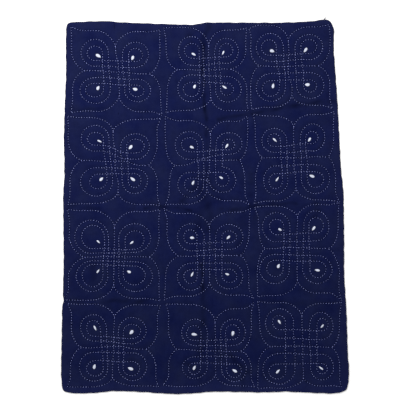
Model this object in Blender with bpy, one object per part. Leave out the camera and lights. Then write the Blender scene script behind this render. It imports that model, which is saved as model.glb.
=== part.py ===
"""A small kantha quilt lying flat, face up.

It is one slab of layered cotton. Its face is drawn in along every line of running stitch, so that the
cloth puffs between the lines, and is pressed in a little along the creases where it was folded. Metres,
+Z up, +Y towards the head of the quilt; the origin is on the underside, in the middle of the outline's box.
"""

from collections import namedtuple

import bmesh
import bpy
import numpy as np
from mathutils import Vector, geometry, kdtree

# Heights of the face above the flat underside, and how far from a stitched line the cloth puffs up.
STITCH_HEIGHT = 0.0026
PUFF_HEIGHT = 0.0056
LOWEST_FACE = 0.0020
PUFF_SPREAD = 0.009

# The turned-in edge, from the face to the underside: how far each ring lies inside the outline, and how high.
Ring = namedtuple("Ring", "inset height")
RIM = (Ring(0.0026, 0.0036), Ring(0.0, 0.0018), Ring(0.0014, 0.0))

# Spacing of the points along the rim, the stitched lines and the creases, then on the puffs and underneath.
RIM_STEP = 0.0235
LINE_STEP = 0.0178
FOLD_STEP = 0.032
PUFF_CLEARANCE = 0.0060
PUFF_STEP = 0.0180
PUFF_STEP_GROWTH = 1.1
PUFF_SEARCH_STEP = 0.006
UNDERSIDE_STEP = 0.120
UNDERSIDE_CLEARANCE = 0.030
FINE_STEP = 0.002
MERGE_DISTANCE = 0.0005
SAME_POINT = 0.00001

# The outline, as stations (x, y) along each side, clockwise from the head's left corner.
HEAD_SIDE = (
    (-0.447, 0.609), (-0.329, 0.613), (-0.270, 0.608), (-0.164, 0.604), (-0.048, 0.600),
    (-0.020, 0.603), (0.004, 0.608), (0.249, 0.607), (0.348, 0.611), (0.386, 0.617), (0.406, 0.619),
)  # fmt: skip
RIGHT_SIDE = (
    (0.421, 0.607), (0.428, 0.582), (0.426, 0.523), (0.439, 0.345), (0.450, 0.127), (0.459, 0.047),
    (0.461, -0.120), (0.461, -0.230), (0.469, -0.349), (0.473, -0.488), (0.478, -0.548), (0.474, -0.587),
    (0.470, -0.609),
)  # fmt: skip
FOOT_SIDE = (
    (0.447, -0.616), (0.414, -0.619), (0.266, -0.612), (0.199, -0.615), (0.034, -0.612), (-0.065, -0.620),
    (-0.114, -0.620), (-0.214, -0.613), (-0.296, -0.610), (-0.379, -0.618), (-0.428, -0.618),
    (-0.461, -0.615),
)  # fmt: skip
LEFT_SIDE = (
    (-0.471, -0.607), (-0.475, -0.548), (-0.472, -0.389), (-0.471, -0.322), (-0.463, -0.309),
    (-0.469, -0.297), (-0.466, -0.190), (-0.468, 0.047), (-0.464, 0.087), (-0.464, 0.160),
    (-0.466, 0.215), (-0.463, 0.325), (-0.458, 0.444), (-0.459, 0.520), (-0.458, 0.600),
)  # fmt: skip
OUTLINE_STEP = 0.003
CORNER_EASE = 0.009
CORNER_EASE_STEPS = 8

# The middle of the outline's box in these tables; the mesh is moved so that it is the origin.
MIDDLE = (0.0012, -0.0012)

# Each stitched block's two middle lines: where they cross, then the ends where they part into two petals, at
# the top, bottom, left and right. Head row first, from left to right.
Block = namedtuple("Block", "cross top bottom left right")
BLOCKS = (
    Block((-0.284, 0.443), (-0.295, 0.526), (-0.283, 0.368), (-0.391, 0.449), (-0.188, 0.437)),
    Block((0.014, 0.451), (0.013, 0.529), (0.020, 0.361), (-0.085, 0.451), (0.081, 0.453)),
    Block((0.277, 0.462), (0.277, 0.546), (0.288, 0.369), (0.182, 0.463), (0.370, 0.465)),
    Block((-0.295, 0.149), (-0.302, 0.246), (-0.286, 0.049), (-0.401, 0.151), (-0.191, 0.136)),
    Block((0.016, 0.152), (0.019, 0.237), (0.008, 0.056), (-0.095, 0.136), (0.112, 0.152)),
    Block((0.295, 0.161), (0.294, 0.261), (0.301, 0.063), (0.195, 0.160), (0.406, 0.164)),
    Block((-0.299, -0.166), (-0.298, -0.072), (-0.301, -0.258), (-0.388, -0.168), (-0.188, -0.167)),
    Block((0.017, -0.162), (0.016, -0.069), (0.016, -0.249), (-0.082, -0.165), (0.113, -0.162)),
    Block((0.305, -0.136), (0.306, -0.037), (0.306, -0.242), (0.205, -0.139), (0.405, -0.140)),
    Block((-0.301, -0.463), (-0.299, -0.368), (-0.305, -0.563), (-0.402, -0.467), (-0.199, -0.472)),
    Block((0.036, -0.478), (0.035, -0.384), (0.036, -0.554), (-0.088, -0.473), (0.114, -0.479)),
    Block((0.324, -0.462), (0.321, -0.363), (0.326, -0.566), (0.222, -0.463), (0.417, -0.466)),
)

# Each block's four petals, at the upper left, lower left, lower right and upper right: the corner, then where
# the side that runs up the block lies and where the side that runs across it lies.
Petal = namedtuple("Petal", "corner side_x side_y")
PETALS = (
    (Petal((-0.442, 0.592), -0.440, 0.581), Petal((-0.441, 0.310), -0.437, 0.314),
     Petal((-0.142, 0.300), -0.145, 0.313), Petal((-0.147, 0.583), -0.148, 0.577)),
    (Petal((-0.135, 0.589), -0.128, 0.591), Petal((-0.128, 0.309), -0.124, 0.317),
     Petal((0.145, 0.317), 0.139, 0.316), Petal((0.138, 0.588), 0.136, 0.583)),
    (Petal((0.146, 0.586), 0.153, 0.599), Petal((0.157, 0.320), 0.152, 0.327),
     Petal((0.421, 0.323), 0.414, 0.334), Petal((0.411, 0.600), 0.414, 0.593)),
    (Petal((-0.452, 0.299), -0.451, 0.293), Petal((-0.451, 0.006), -0.445, 0.009),
     Petal((-0.149, 0.003), -0.156, 0.006), Petal((-0.145, 0.291), -0.157, 0.287)),
    (Petal((-0.130, 0.297), -0.130, 0.283), Petal((-0.130, 0.005), -0.117, 0.007),
     Petal((0.148, 0.005), 0.133, 0.019), Petal((0.141, 0.298), 0.142, 0.281)),
    (Petal((0.160, 0.305), 0.167, 0.299), Petal((0.163, 0.009), 0.169, 0.017),
     Petal((0.447, 0.014), 0.432, 0.021), Petal((0.427, 0.313), 0.426, 0.304)),
    (Petal((-0.452, -0.010), -0.447, -0.014), Petal((-0.461, -0.310), -0.450, -0.310),
     Petal((-0.147, -0.312), -0.151, -0.305), Petal((-0.148, -0.012), -0.151, -0.017)),
    (Petal((-0.135, -0.008), -0.124, -0.023), Petal((-0.133, -0.309), -0.130, -0.297),
     Petal((0.162, -0.305), 0.146, -0.293), Petal((0.152, -0.007), 0.147, -0.020)),
    (Petal((0.164, -0.002), 0.178, 0.000), Petal((0.175, -0.299), 0.174, -0.294),
     Petal((0.452, -0.310), 0.444, -0.287), Petal((0.444, 0.013), 0.441, 0.006)),
    (Petal((-0.452, -0.321), -0.440, -0.323), Petal((-0.454, -0.595), -0.443, -0.597),
     Petal((-0.151, -0.596), -0.162, -0.593), Petal((-0.146, -0.328), -0.156, -0.326)),
    (Petal((-0.129, -0.323), -0.119, -0.324), Petal((-0.137, -0.590), -0.119, -0.595),
     Petal((0.165, -0.596), 0.154, -0.593), Petal((0.163, -0.319), 0.154, -0.338)),
    (Petal((0.175, -0.314), 0.181, -0.318), Petal((0.175, -0.604), 0.176, -0.600),
     Petal((0.453, -0.598), 0.446, -0.593), Petal((0.452, -0.315), 0.446, -0.321)),
)  # fmt: skip

# Each block's four loops in the same order, in the middle and in the inner looped line: how far each reaches
# from the crossing, and whether the line goes round it the other way.
Turn = namedtuple("Turn", "left right foot head backwards", defaults=(False,))
MIDDLE_TURNS = (
    (Turn(-0.124, -0.034, 0.020, 0.108), Turn(-0.127, -0.028, -0.103, -0.017),
     Turn(0.019, 0.106, -0.097, -0.023), Turn(0.012, 0.099, 0.016, 0.099)),
    (Turn(-0.100, -0.018, 0.015, 0.111), Turn(-0.103, -0.016, -0.106, -0.017),
     Turn(0.022, 0.106, -0.107, -0.022), Turn(0.019, 0.097, 0.021, 0.105)),
    (Turn(-0.106, -0.017, 0.017, 0.110), Turn(-0.106, -0.010, -0.116, -0.023),
     Turn(0.026, 0.117, -0.106, -0.020), Turn(0.022, 0.113, 0.023, 0.106)),
    (Turn(-0.113, -0.021, 0.033, 0.119), Turn(-0.115, -0.010, -0.116, -0.021),
     Turn(0.022, 0.107, -0.107, -0.024), Turn(0.018, 0.113, 0.007, 0.091)),
    (Turn(-0.113, -0.020, 0.003, 0.095), Turn(-0.105, -0.019, -0.123, -0.040),
     Turn(0.020, 0.064, -0.086, -0.040), Turn(0.021, 0.108, 0.019, 0.092)),
    (Turn(-0.107, -0.024, 0.017, 0.097), Turn(-0.100, -0.021, -0.122, -0.027),
     Turn(0.025, 0.118, -0.119, -0.023), Turn(0.022, 0.102, 0.021, 0.112)),
    (Turn(-0.130, -0.019, 0.011, 0.120), Turn(-0.125, -0.022, -0.115, -0.014),
     Turn(0.015, 0.127, -0.115, -0.017), Turn(0.016, 0.120, 0.013, 0.109)),
    (Turn(-0.107, -0.019, 0.016, 0.104), Turn(-0.107, -0.021, -0.116, -0.026),
     Turn(0.019, 0.109, -0.111, -0.025), Turn(0.019, 0.110, 0.020, 0.102)),
    (Turn(-0.114, -0.023, 0.019, 0.115), Turn(-0.124, -0.025, -0.119, -0.023),
     Turn(0.020, 0.116, -0.119, -0.027), Turn(0.022, 0.106, 0.022, 0.121)),
    (Turn(-0.110, -0.023, 0.019, 0.105), Turn(-0.113, -0.019, -0.115, -0.019),
     Turn(0.016, 0.109, -0.113, -0.021), Turn(0.017, 0.108, 0.010, 0.096)),
    (Turn(-0.112, -0.028, 0.018, 0.105), Turn(-0.109, -0.028, -0.091, -0.018),
     Turn(0.020, 0.103, -0.101, -0.018), Turn(0.017, 0.099, 0.018, 0.105)),
    (Turn(-0.123, -0.030, 0.027, 0.124), Turn(-0.132, -0.025, -0.125, -0.024),
     Turn(0.026, 0.101, -0.111, -0.027), Turn(0.022, 0.100, 0.022, 0.112)),
)  # fmt: skip
INNER_TURNS = (
    (Turn(-0.104, -0.053, 0.039, 0.086), Turn(-0.109, -0.050, -0.082, -0.037),
     Turn(0.036, 0.084, -0.081, -0.043), Turn(0.033, 0.079, 0.036, 0.079)),
    (Turn(-0.081, -0.031, 0.038, 0.087), Turn(-0.085, -0.031, -0.088, -0.041),
     Turn(0.038, 0.081, -0.084, -0.043), Turn(0.034, 0.079, 0.042, 0.087)),
    (Turn(-0.090, -0.040, 0.037, 0.088), Turn(-0.086, -0.030, -0.099, -0.046),
     Turn(0.050, 0.093, -0.085, -0.044), Turn(0.042, 0.093, 0.042, 0.089)),
    (Turn(-0.093, -0.039, 0.052, 0.096), Turn(-0.085, -0.028, -0.091, -0.042),
     Turn(0.043, 0.085, -0.087, -0.041), Turn(0.038, 0.096, 0.027, 0.072)),
    (Turn(-0.093, -0.039, 0.028, 0.076), Turn(-0.083, -0.037, -0.103, -0.059),
     Turn(-0.002, 0.087, -0.106, -0.023, True), Turn(0.043, 0.083, 0.035, 0.071)),
    (Turn(-0.088, -0.045, 0.037, 0.079), Turn(-0.083, -0.038, -0.102, -0.052),
     Turn(0.045, 0.098, -0.099, -0.046), Turn(0.039, 0.079, 0.046, 0.087)),
    (Turn(-0.108, -0.032, 0.026, 0.104), Turn(-0.105, -0.037, -0.099, -0.026),
     Turn(0.031, 0.103, -0.093, -0.031), Turn(0.037, 0.099, 0.023, 0.086)),
    (Turn(-0.086, -0.042, 0.039, 0.084), Turn(-0.086, -0.041, -0.093, -0.047),
     Turn(0.040, 0.089, -0.090, -0.046), Turn(0.040, 0.089, 0.043, 0.080)),
    (Turn(-0.091, -0.043, 0.043, 0.094), Turn(-0.101, -0.045, -0.096, -0.043),
     Turn(0.043, 0.096, -0.099, -0.046), Turn(0.039, 0.088, 0.048, 0.099)),
    (Turn(-0.090, -0.043, 0.034, 0.086), Turn(-0.090, -0.034, -0.098, -0.047),
     Turn(0.033, 0.086, -0.097, -0.050), Turn(0.033, 0.089, 0.027, 0.073)),
    (Turn(-0.096, -0.049, 0.035, 0.084), Turn(-0.089, -0.050, -0.078, -0.039),
     Turn(0.037, 0.086, -0.088, -0.043), Turn(0.033, 0.080, 0.037, 0.087)),
    (Turn(-0.099, -0.057, 0.055, 0.101), Turn(-0.112, -0.057, -0.108, -0.059),
     Turn(0.047, 0.081, -0.091, -0.057), Turn(0.047, 0.084, 0.052, 0.092)),
)  # fmt: skip
LOOP_STARTS = np.radians((270, 0, 90, 180))
LOOP_SWEEP = np.radians(-270)
LOOP_POINTS = 25

# A strand between two loops or along a middle line drifts over in the middle of its way.
STRAND_EASE = (0.2, 0.8)
STRAND_POINTS = 14

# A petal's side leaves the middle line in a rounded shoulder, runs level, and flares to the block's corner.
SHOULDER_END = 0.45
SHOULDER_POWER = 1.12
FLARE_START = 0.74
FLARE_POWER = 1.5
SHOULDER_POINTS = 12
LEVEL_POINTS = 4
FLARE_POINTS = 7

# Slow waves: the length over which each turns by one radian along x and along y, its start and its share. Two
# sets carry the hand off the drawn line, sideways and upward, and the third lifts and lowers the cloth.
Wave = namedtuple("Wave", "length_x length_y start share")
SIDEWAYS_WAVES = (Wave(0.031, 0.017, 0.7, 1.0), Wave(0.013, -0.023, 2.1, 0.6))
UPWARD_WAVES = (Wave(-0.019, 0.029, 1.3, 1.0), Wave(0.021, 0.014, 4.0, 0.6))
CLOTH_WAVES = (Wave(0.043, 0.057, 0.5, 1.0), Wave(-0.061, 0.039, 2.2, 0.8))
WANDER = 0.0006
CLOTH_WAVE_HEIGHT = 0.0002

# The creases left by folding: from and to, how deep and how wide.
Fold = namedtuple("Fold", "x0 y0 x1 y1 depth width")
FOLDS = (
    Fold(0.009, 0.590, -0.005, 0.534, 0.0009, 0.010),
    Fold(-0.005, 0.534, -0.004, 0.450, 0.0009, 0.010),
    Fold(-0.004, 0.450, 0.005, 0.282, 0.0009, 0.009),
    Fold(0.005, 0.282, 0.007, 0.109, 0.0005, 0.008),
    Fold(0.004, 0.094, -0.076, 0.018, 0.0007, 0.010),
    Fold(0.004, 0.094, 0.050, 0.018, 0.0007, 0.010),
    Fold(-0.006, 0.018, -0.025, -0.083, 0.0006, 0.012),
    Fold(-0.010, -0.190, -0.005, -0.276, 0.0009, 0.009),
    Fold(-0.005, -0.276, -0.005, -0.397, 0.0009, 0.010),
    Fold(-0.005, -0.397, -0.015, -0.590, 0.0008, 0.012),
    Fold(0.045, 0.289, 0.187, 0.313, 0.0010, 0.009),
    Fold(0.187, 0.313, 0.380, 0.346, 0.0010, 0.009),
    Fold(0.380, 0.346, 0.425, 0.344, 0.0006, 0.009),
    Fold(-0.440, 0.321, -0.339, 0.323, 0.0006, 0.008),
    Fold(-0.445, 0.001, -0.349, -0.006, 0.0006, 0.008),
    Fold(-0.197, -0.008, -0.106, -0.003, 0.0009, 0.008),
    Fold(-0.106, -0.003, -0.046, -0.015, 0.0009, 0.008),
    Fold(0.056, -0.013, 0.157, 0.003, 0.0009, 0.008),
    Fold(0.157, 0.003, 0.299, 0.008, 0.0008, 0.008),
    Fold(-0.329, -0.313, -0.187, -0.313, 0.0009, 0.008),
    Fold(0.190, -0.316, 0.440, -0.331, 0.0004, 0.010),
    Fold(0.086, -0.498, 0.147, -0.549, 0.0008, 0.010),
)

COTTON_COLOUR = (0.0093, 0.0125, 0.0595, 1.0)
COTTON_ROUGHNESS = 0.92


def resample(points, step, closed=False):
    """Points at an even spacing near step along a polyline, with its two ends kept where it is open."""
    points = np.asarray(points, float)
    if closed:
        points = np.vstack([points, points[:1]])
    travelled = np.concatenate([[0.0], np.cumsum(np.linalg.norm(np.diff(points, axis=0), axis=1))])
    count = max(2, round(travelled[-1] / step))
    at = np.linspace(0.0, travelled[-1], count + 1)
    if closed:
        at = at[:-1]
    return np.column_stack([np.interp(at, travelled, points[:, axis]) for axis in (0, 1)])


def outline():
    """The edge through its stations, eased by a running mean so that its corners are round."""
    fine = resample(HEAD_SIDE + RIGHT_SIDE + FOOT_SIDE + LEFT_SIDE, OUTLINE_STEP, closed=True)
    reach = np.arange(-CORNER_EASE_STEPS, CORNER_EASE_STEPS + 1)
    weights = np.exp(-0.5 * (reach * OUTLINE_STEP / CORNER_EASE) ** 2)
    weights /= weights.sum()
    return sum(weight * np.roll(fine, shift, axis=0) for weight, shift in zip(weights, reach))


def inset(ring, distance):
    """A clockwise ring moved inwards, square to its own direction."""
    along = np.roll(ring, -1, axis=0) - np.roll(ring, 1, axis=0)
    along /= np.linalg.norm(along, axis=1)[:, None]
    return ring + distance * np.column_stack([along[:, 1], -along[:, 0]])


def waves(points, table):
    x, y = points[:, 0], points[:, 1]
    return sum(wave.share * np.sin(x / wave.length_x + y / wave.length_y + wave.start) for wave in table)


def wander(points):
    """A slow waver of under a millimetre, the same wherever two lines cross."""
    return points + WANDER * np.column_stack([waves(points, SIDEWAYS_WAVES), waves(points, UPWARD_WAVES)])


def strand(start, end, across):
    """Points from start to end: evenly one way, and easing over along x (0) or y (1)."""
    share = np.linspace(0.0, 1.0, STRAND_POINTS)
    ease = np.clip((share - STRAND_EASE[0]) / (STRAND_EASE[1] - STRAND_EASE[0]), 0.0, 1.0)
    points = start + share[:, None] * np.subtract(end, start)
    points[:, across] = start[across] + ease**2 * (3 - 2 * ease) * (end[across] - start[across])
    return points


def petal_side(start, corner, along, side):
    """A petal's side, running along x (0) or y (1) from a middle line's end to the block's corner."""
    turn = np.linspace(0.0, np.pi / 2, SHOULDER_POINTS)
    level = np.linspace(SHOULDER_END, FLARE_START, LEVEL_POINTS)[1:]
    flare = np.linspace(FLARE_START, 1.0, FLARE_POINTS)[1:]
    share = np.concatenate([SHOULDER_END * (1 - np.cos(turn) ** SHOULDER_POWER), level, flare])
    across = 1 - along
    shoulder = start[across] + (side - start[across]) * np.sin(turn) ** SHOULDER_POWER
    flared = side + (corner[across] - side) * ((flare - FLARE_START) / (1 - FLARE_START)) ** FLARE_POWER
    points = np.empty((len(share), 2))
    points[:, along] = start[along] + share * (corner[along] - start[along])
    points[:, across] = np.concatenate([shoulder, np.full(len(level), side), flared])
    return points


def petal_lines(block, petals):
    """A block's outer lines: two middle lines, and from their ends four petals out to its corners."""
    upright = np.vstack([strand(block.top, block.cross, 0), strand(block.cross, block.bottom, 0)[1:]])
    level = np.vstack([strand(block.left, block.cross, 1), strand(block.cross, block.right, 1)[1:]])
    lines = [upright, level]
    ends = (
        (block.top, block.left), (block.bottom, block.left), (block.bottom, block.right),
        (block.top, block.right),
    )  # fmt: skip
    for petal, (upright_end, level_end) in zip(petals, ends):
        across = petal_side(upright_end, petal.corner, 0, petal.side_y)
        down = petal_side(level_end, petal.corner, 1, petal.side_x)
        lines.append(np.vstack([across, down[-2::-1]]))
    return lines


def looped_line(block, turns):
    """A closed looped square: three quarters of the way round each oval loop, joined by strands."""
    curves = []
    for turn, start in zip(turns, LOOP_STARTS):
        angle = start + np.linspace(0.0, LOOP_SWEEP, LOOP_POINTS)
        x = (turn.left + turn.right) / 2 + (turn.right - turn.left) / 2 * np.cos(angle)
        y = (turn.foot + turn.head) / 2 + (turn.head - turn.foot) / 2 * np.sin(angle)
        curve = np.column_stack([x, y]) + block.cross
        curves.append(curve[::-1] if turn.backwards else curve)
    pieces = []
    for number, curve in enumerate(curves):
        after = curves[(number + 1) % len(curves)]
        pieces += [curve, strand(curve[-1], after[0], number % 2)[1:-1]]
    return np.vstack(pieces)


def stitched_lines():
    """Every line of running stitch, as (points, closed)."""
    lines = []
    for block, petals, middle, inner in zip(BLOCKS, PETALS, MIDDLE_TURNS, INNER_TURNS):
        lines += [(line, False) for line in petal_lines(block, petals)]
        lines += [(looped_line(block, turns), True) for turns in (middle, inner)]
    return [(wander(points), closed) for points, closed in lines]


def tree_of(points):
    """A tree that finds the nearest of some flat points."""
    tree = kdtree.KDTree(len(points))
    for index, (x, y) in enumerate(points):
        tree.insert((x, y, 0.0), index)
    tree.balance()
    return tree


def distances(points, tree):
    return np.array([tree.find((x, y, 0.0))[2] for x, y in points])


def face_height(points, line_tree):
    """The face: low on stitched lines, puffed between them, pressed in along the creases, slightly waved."""
    away = distances(points, line_tree)
    height = STITCH_HEIGHT + (PUFF_HEIGHT - STITCH_HEIGHT) * (1 - np.exp(-away / PUFF_SPREAD))
    height += CLOTH_WAVE_HEIGHT * waves(points, CLOTH_WAVES)
    crease = np.zeros(len(points))
    for fold in FOLDS:
        start = np.array([fold.x0, fold.y0])
        run = np.array([fold.x1, fold.y1]) - start
        share = np.clip((points - start) @ run / (run @ run), 0.0, 1.0)
        off = np.linalg.norm(points - start - share[:, None] * run, axis=1)
        crease = np.maximum(crease, fold.depth * np.exp(-((off / fold.width) ** 2)))
    return np.maximum(height - crease, LOWEST_FACE)


def inside(points, ring):
    """Which points lie within a ring: a level ray from each crosses it an odd number of times."""
    x, y = points[:, :1], points[:, 1:]
    x0, y0 = ring.T
    x1, y1 = np.roll(ring, -1, axis=0).T
    spans = (y0 > y) != (y1 > y)
    crossing = x0 + (y - y0) * (x1 - x0) / np.where(y1 == y0, 1.0, y1 - y0)
    return (spans & (crossing > x)).sum(axis=1) % 2 == 1


def search_grid(ring, step):
    low, high = ring.min(axis=0), ring.max(axis=0)
    x, y = np.meshgrid(np.arange(low[0], high[0], step), np.arange(low[1], high[1], step))
    grid = np.column_stack([x.ravel(), y.ravel()])
    return grid[inside(grid, ring)]


def puff_points(ring, taken):
    """Points on the puffs: the spots furthest from every line first, each a step from those before it."""
    grid = search_grid(inset(ring, PUFF_CLEARANCE), PUFF_SEARCH_STEP)
    away = distances(grid, tree_of(taken)).round(4)
    order = np.argsort(-away, kind="stable")
    chosen = np.empty((0, 2))
    for point, room in zip(grid[order], away[order]):
        if room < PUFF_CLEARANCE:
            break
        step = max(PUFF_STEP, PUFF_STEP_GROWTH * room)
        if not len(chosen) or np.hypot(*(chosen - point).T).min() >= step:
            chosen = np.vstack([chosen, point])
    return chosen


def triangulated(ring, lines, loose):
    """Flat triangles over a ring that keep every given line as edges: (points, faces)."""
    points = [tuple(point) for point in ring]
    edges = []
    for line, closed in lines:
        first = len(points)
        points += [tuple(point) for point in line]
        edges += [(at, at + 1) for at in range(first, len(points) - 1)]
        if closed:
            edges.append((len(points) - 1, first))
    points += [tuple(point) for point in loose]
    face = list(range(len(ring)))[::-1]
    keep_inside = 1
    made = geometry.delaunay_2d_cdt(
        [Vector(point) for point in points], edges, [face], keep_inside, MERGE_DISTANCE
    )
    return np.array([tuple(point) for point in made[0]]), made[2]


def add_faces(mesh, points, heights, faces):
    """Adds corners at the given heights, moved so that the outline's middle is the origin, and faces."""
    places = np.column_stack([points - MIDDLE, heights])
    corners = [mesh.verts.new(place) for place in places]
    for face in faces:
        mesh.faces.new([corners[corner] for corner in face])


def add_face(mesh, rim_ring):
    """The quilted face: triangles that follow the stitched lines and creases, with the puffs between them."""
    lines = stitched_lines()
    fine = np.vstack([resample(points, FINE_STEP, closed) for points, closed in lines])
    kept = [(resample(points, LINE_STEP, closed), closed) for points, closed in lines]
    for fold in FOLDS:
        kept.append((resample([(fold.x0, fold.y0), (fold.x1, fold.y1)], FOLD_STEP), False))
    taken = np.vstack([rim_ring, fine] + [points for points, _ in kept])
    points, faces = triangulated(rim_ring, kept, puff_points(rim_ring, taken))
    heights = face_height(points, tree_of(fine))
    on_rim = distances(points, tree_of(rim_ring)) < SAME_POINT
    heights[on_rim] = RIM[0].height
    add_faces(mesh, points, heights, faces)


def add_edge(mesh, rings):
    """The turned-in edge: a band of quads between each ring and the next."""
    count = len(rings[0])
    here = np.arange(count)
    after = (here + 1) % count
    quads = np.column_stack([here, after, after + count, here + count])
    for upper, lower in ((0, 1), (1, 2)):
        heights = np.repeat([RIM[upper].height, RIM[lower].height], count)
        add_faces(mesh, np.vstack([rings[upper], rings[lower]]), heights, quads)


def add_underside(mesh, ring):
    inner = search_grid(inset(ring, UNDERSIDE_CLEARANCE), UNDERSIDE_STEP)
    points, faces = triangulated(ring, [], inner)
    add_faces(mesh, points, np.full(len(points), RIM[-1].height), [face[::-1] for face in faces])


def quilt_mesh():
    """Face, turned-in edge and flat underside, joined into one closed skin."""
    edge = resample(outline(), RIM_STEP, closed=True)
    rings = [inset(edge, ring.inset) for ring in RIM]
    mesh = bmesh.new()
    add_face(mesh, rings[0])
    add_edge(mesh, rings)
    add_underside(mesh, rings[-1])
    bmesh.ops.remove_doubles(mesh, verts=mesh.verts, dist=SAME_POINT)
    bmesh.ops.recalc_face_normals(mesh, faces=mesh.faces)
    return mesh


def cotton():
    material = bpy.data.materials.new("navy cotton")
    material.use_nodes = True
    shader = material.node_tree.nodes["Principled BSDF"]
    shader.inputs["Base Color"].default_value = COTTON_COLOUR
    shader.inputs["Roughness"].default_value = COTTON_ROUGHNESS
    shader.inputs["Metallic"].default_value = 0.0
    material.diffuse_color = COTTON_COLOUR
    return material


def build():
    for old in list(bpy.data.objects):
        bpy.data.objects.remove(old)
    built = quilt_mesh()
    data = bpy.data.meshes.new("quilt")
    built.to_mesh(data)
    built.free()
    data.materials.append(cotton())
    data.shade_smooth()
    quilt = bpy.data.objects.new("quilt", data)
    bpy.context.scene.collection.objects.link(quilt)


build()
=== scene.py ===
"""The looks of a small kantha quilt lying flat, face up: its cloth, its running stitch and its leaves.

Metres, +Z up, +Y towards the head of the quilt. The origin is on the underside, under the quilt's middle.
"""

from collections import namedtuple

import bpy
import numpy as np
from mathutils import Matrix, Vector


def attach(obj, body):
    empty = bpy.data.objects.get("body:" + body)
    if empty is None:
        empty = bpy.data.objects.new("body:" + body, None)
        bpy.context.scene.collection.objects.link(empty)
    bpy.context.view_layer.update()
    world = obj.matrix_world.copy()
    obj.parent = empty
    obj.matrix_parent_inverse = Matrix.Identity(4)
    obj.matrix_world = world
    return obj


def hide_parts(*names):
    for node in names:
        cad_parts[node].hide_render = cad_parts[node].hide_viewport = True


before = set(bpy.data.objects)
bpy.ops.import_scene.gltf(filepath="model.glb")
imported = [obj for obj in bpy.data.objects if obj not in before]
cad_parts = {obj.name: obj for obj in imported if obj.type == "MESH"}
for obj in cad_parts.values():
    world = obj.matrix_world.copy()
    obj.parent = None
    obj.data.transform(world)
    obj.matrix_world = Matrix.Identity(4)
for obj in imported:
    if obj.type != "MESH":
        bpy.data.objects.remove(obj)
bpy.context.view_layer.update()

# The quilt cloth. A few layers of navy cotton laid together and quilted all over by hand, which draws the
# face in along every line of stitches. The raw edges are turned in between the layers and closed, so the rim
# is a soft rounded fold with a seam along its side.

# The outline, as stations (x, y) along each side, clockwise from the head's left corner.
HEAD_SIDE = (
    (-0.447, 0.609), (-0.329, 0.613), (-0.270, 0.608), (-0.164, 0.604), (-0.048, 0.600),
    (-0.020, 0.603), (0.004, 0.608), (0.249, 0.607), (0.348, 0.611), (0.386, 0.617), (0.406, 0.619),
)  # fmt: skip
RIGHT_SIDE = (
    (0.421, 0.607), (0.428, 0.582), (0.426, 0.523), (0.439, 0.345), (0.450, 0.127), (0.459, 0.047),
    (0.461, -0.120), (0.461, -0.230), (0.469, -0.349), (0.473, -0.488), (0.478, -0.548), (0.474, -0.587),
    (0.470, -0.609),
)  # fmt: skip
FOOT_SIDE = (
    (0.447, -0.616), (0.414, -0.619), (0.266, -0.612), (0.199, -0.615), (0.034, -0.612), (-0.065, -0.620),
    (-0.114, -0.620), (-0.214, -0.613), (-0.296, -0.610), (-0.379, -0.618), (-0.428, -0.618),
    (-0.461, -0.615),
)  # fmt: skip
LEFT_SIDE = (
    (-0.471, -0.607), (-0.475, -0.548), (-0.472, -0.389), (-0.471, -0.322), (-0.463, -0.309),
    (-0.469, -0.297), (-0.466, -0.190), (-0.468, 0.047), (-0.464, 0.087), (-0.464, 0.160),
    (-0.466, 0.215), (-0.463, 0.325), (-0.458, 0.444), (-0.459, 0.520), (-0.458, 0.600),
)  # fmt: skip
OUTLINE_STEP = 0.003
CORNER_EASE = 0.009
CORNER_EASE_STEPS = 8

# The middle of the outline's box in these tables; every mesh is moved so that it is the origin.
MIDDLE = (0.0012, -0.0012)

# Each stitched block's two middle lines: where they cross, then the ends where they part into two petals, at
# the top, bottom, left and right. Head row first, from left to right.
Block = namedtuple("Block", "cross top bottom left right")
BLOCKS = (
    Block((-0.284, 0.443), (-0.295, 0.526), (-0.283, 0.368), (-0.391, 0.449), (-0.188, 0.437)),
    Block((0.014, 0.451), (0.013, 0.529), (0.020, 0.361), (-0.085, 0.451), (0.081, 0.453)),
    Block((0.277, 0.462), (0.277, 0.546), (0.288, 0.369), (0.182, 0.463), (0.370, 0.465)),
    Block((-0.295, 0.149), (-0.302, 0.246), (-0.286, 0.049), (-0.401, 0.151), (-0.191, 0.136)),
    Block((0.016, 0.152), (0.019, 0.237), (0.008, 0.056), (-0.095, 0.136), (0.112, 0.152)),
    Block((0.295, 0.161), (0.294, 0.261), (0.301, 0.063), (0.195, 0.160), (0.406, 0.164)),
    Block((-0.299, -0.166), (-0.298, -0.072), (-0.301, -0.258), (-0.388, -0.168), (-0.188, -0.167)),
    Block((0.017, -0.162), (0.016, -0.069), (0.016, -0.249), (-0.082, -0.165), (0.113, -0.162)),
    Block((0.305, -0.136), (0.306, -0.037), (0.306, -0.242), (0.205, -0.139), (0.405, -0.140)),
    Block((-0.301, -0.463), (-0.299, -0.368), (-0.305, -0.563), (-0.402, -0.467), (-0.199, -0.472)),
    Block((0.036, -0.478), (0.035, -0.384), (0.036, -0.554), (-0.088, -0.473), (0.114, -0.479)),
    Block((0.324, -0.462), (0.321, -0.363), (0.326, -0.566), (0.222, -0.463), (0.417, -0.466)),
)

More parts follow.
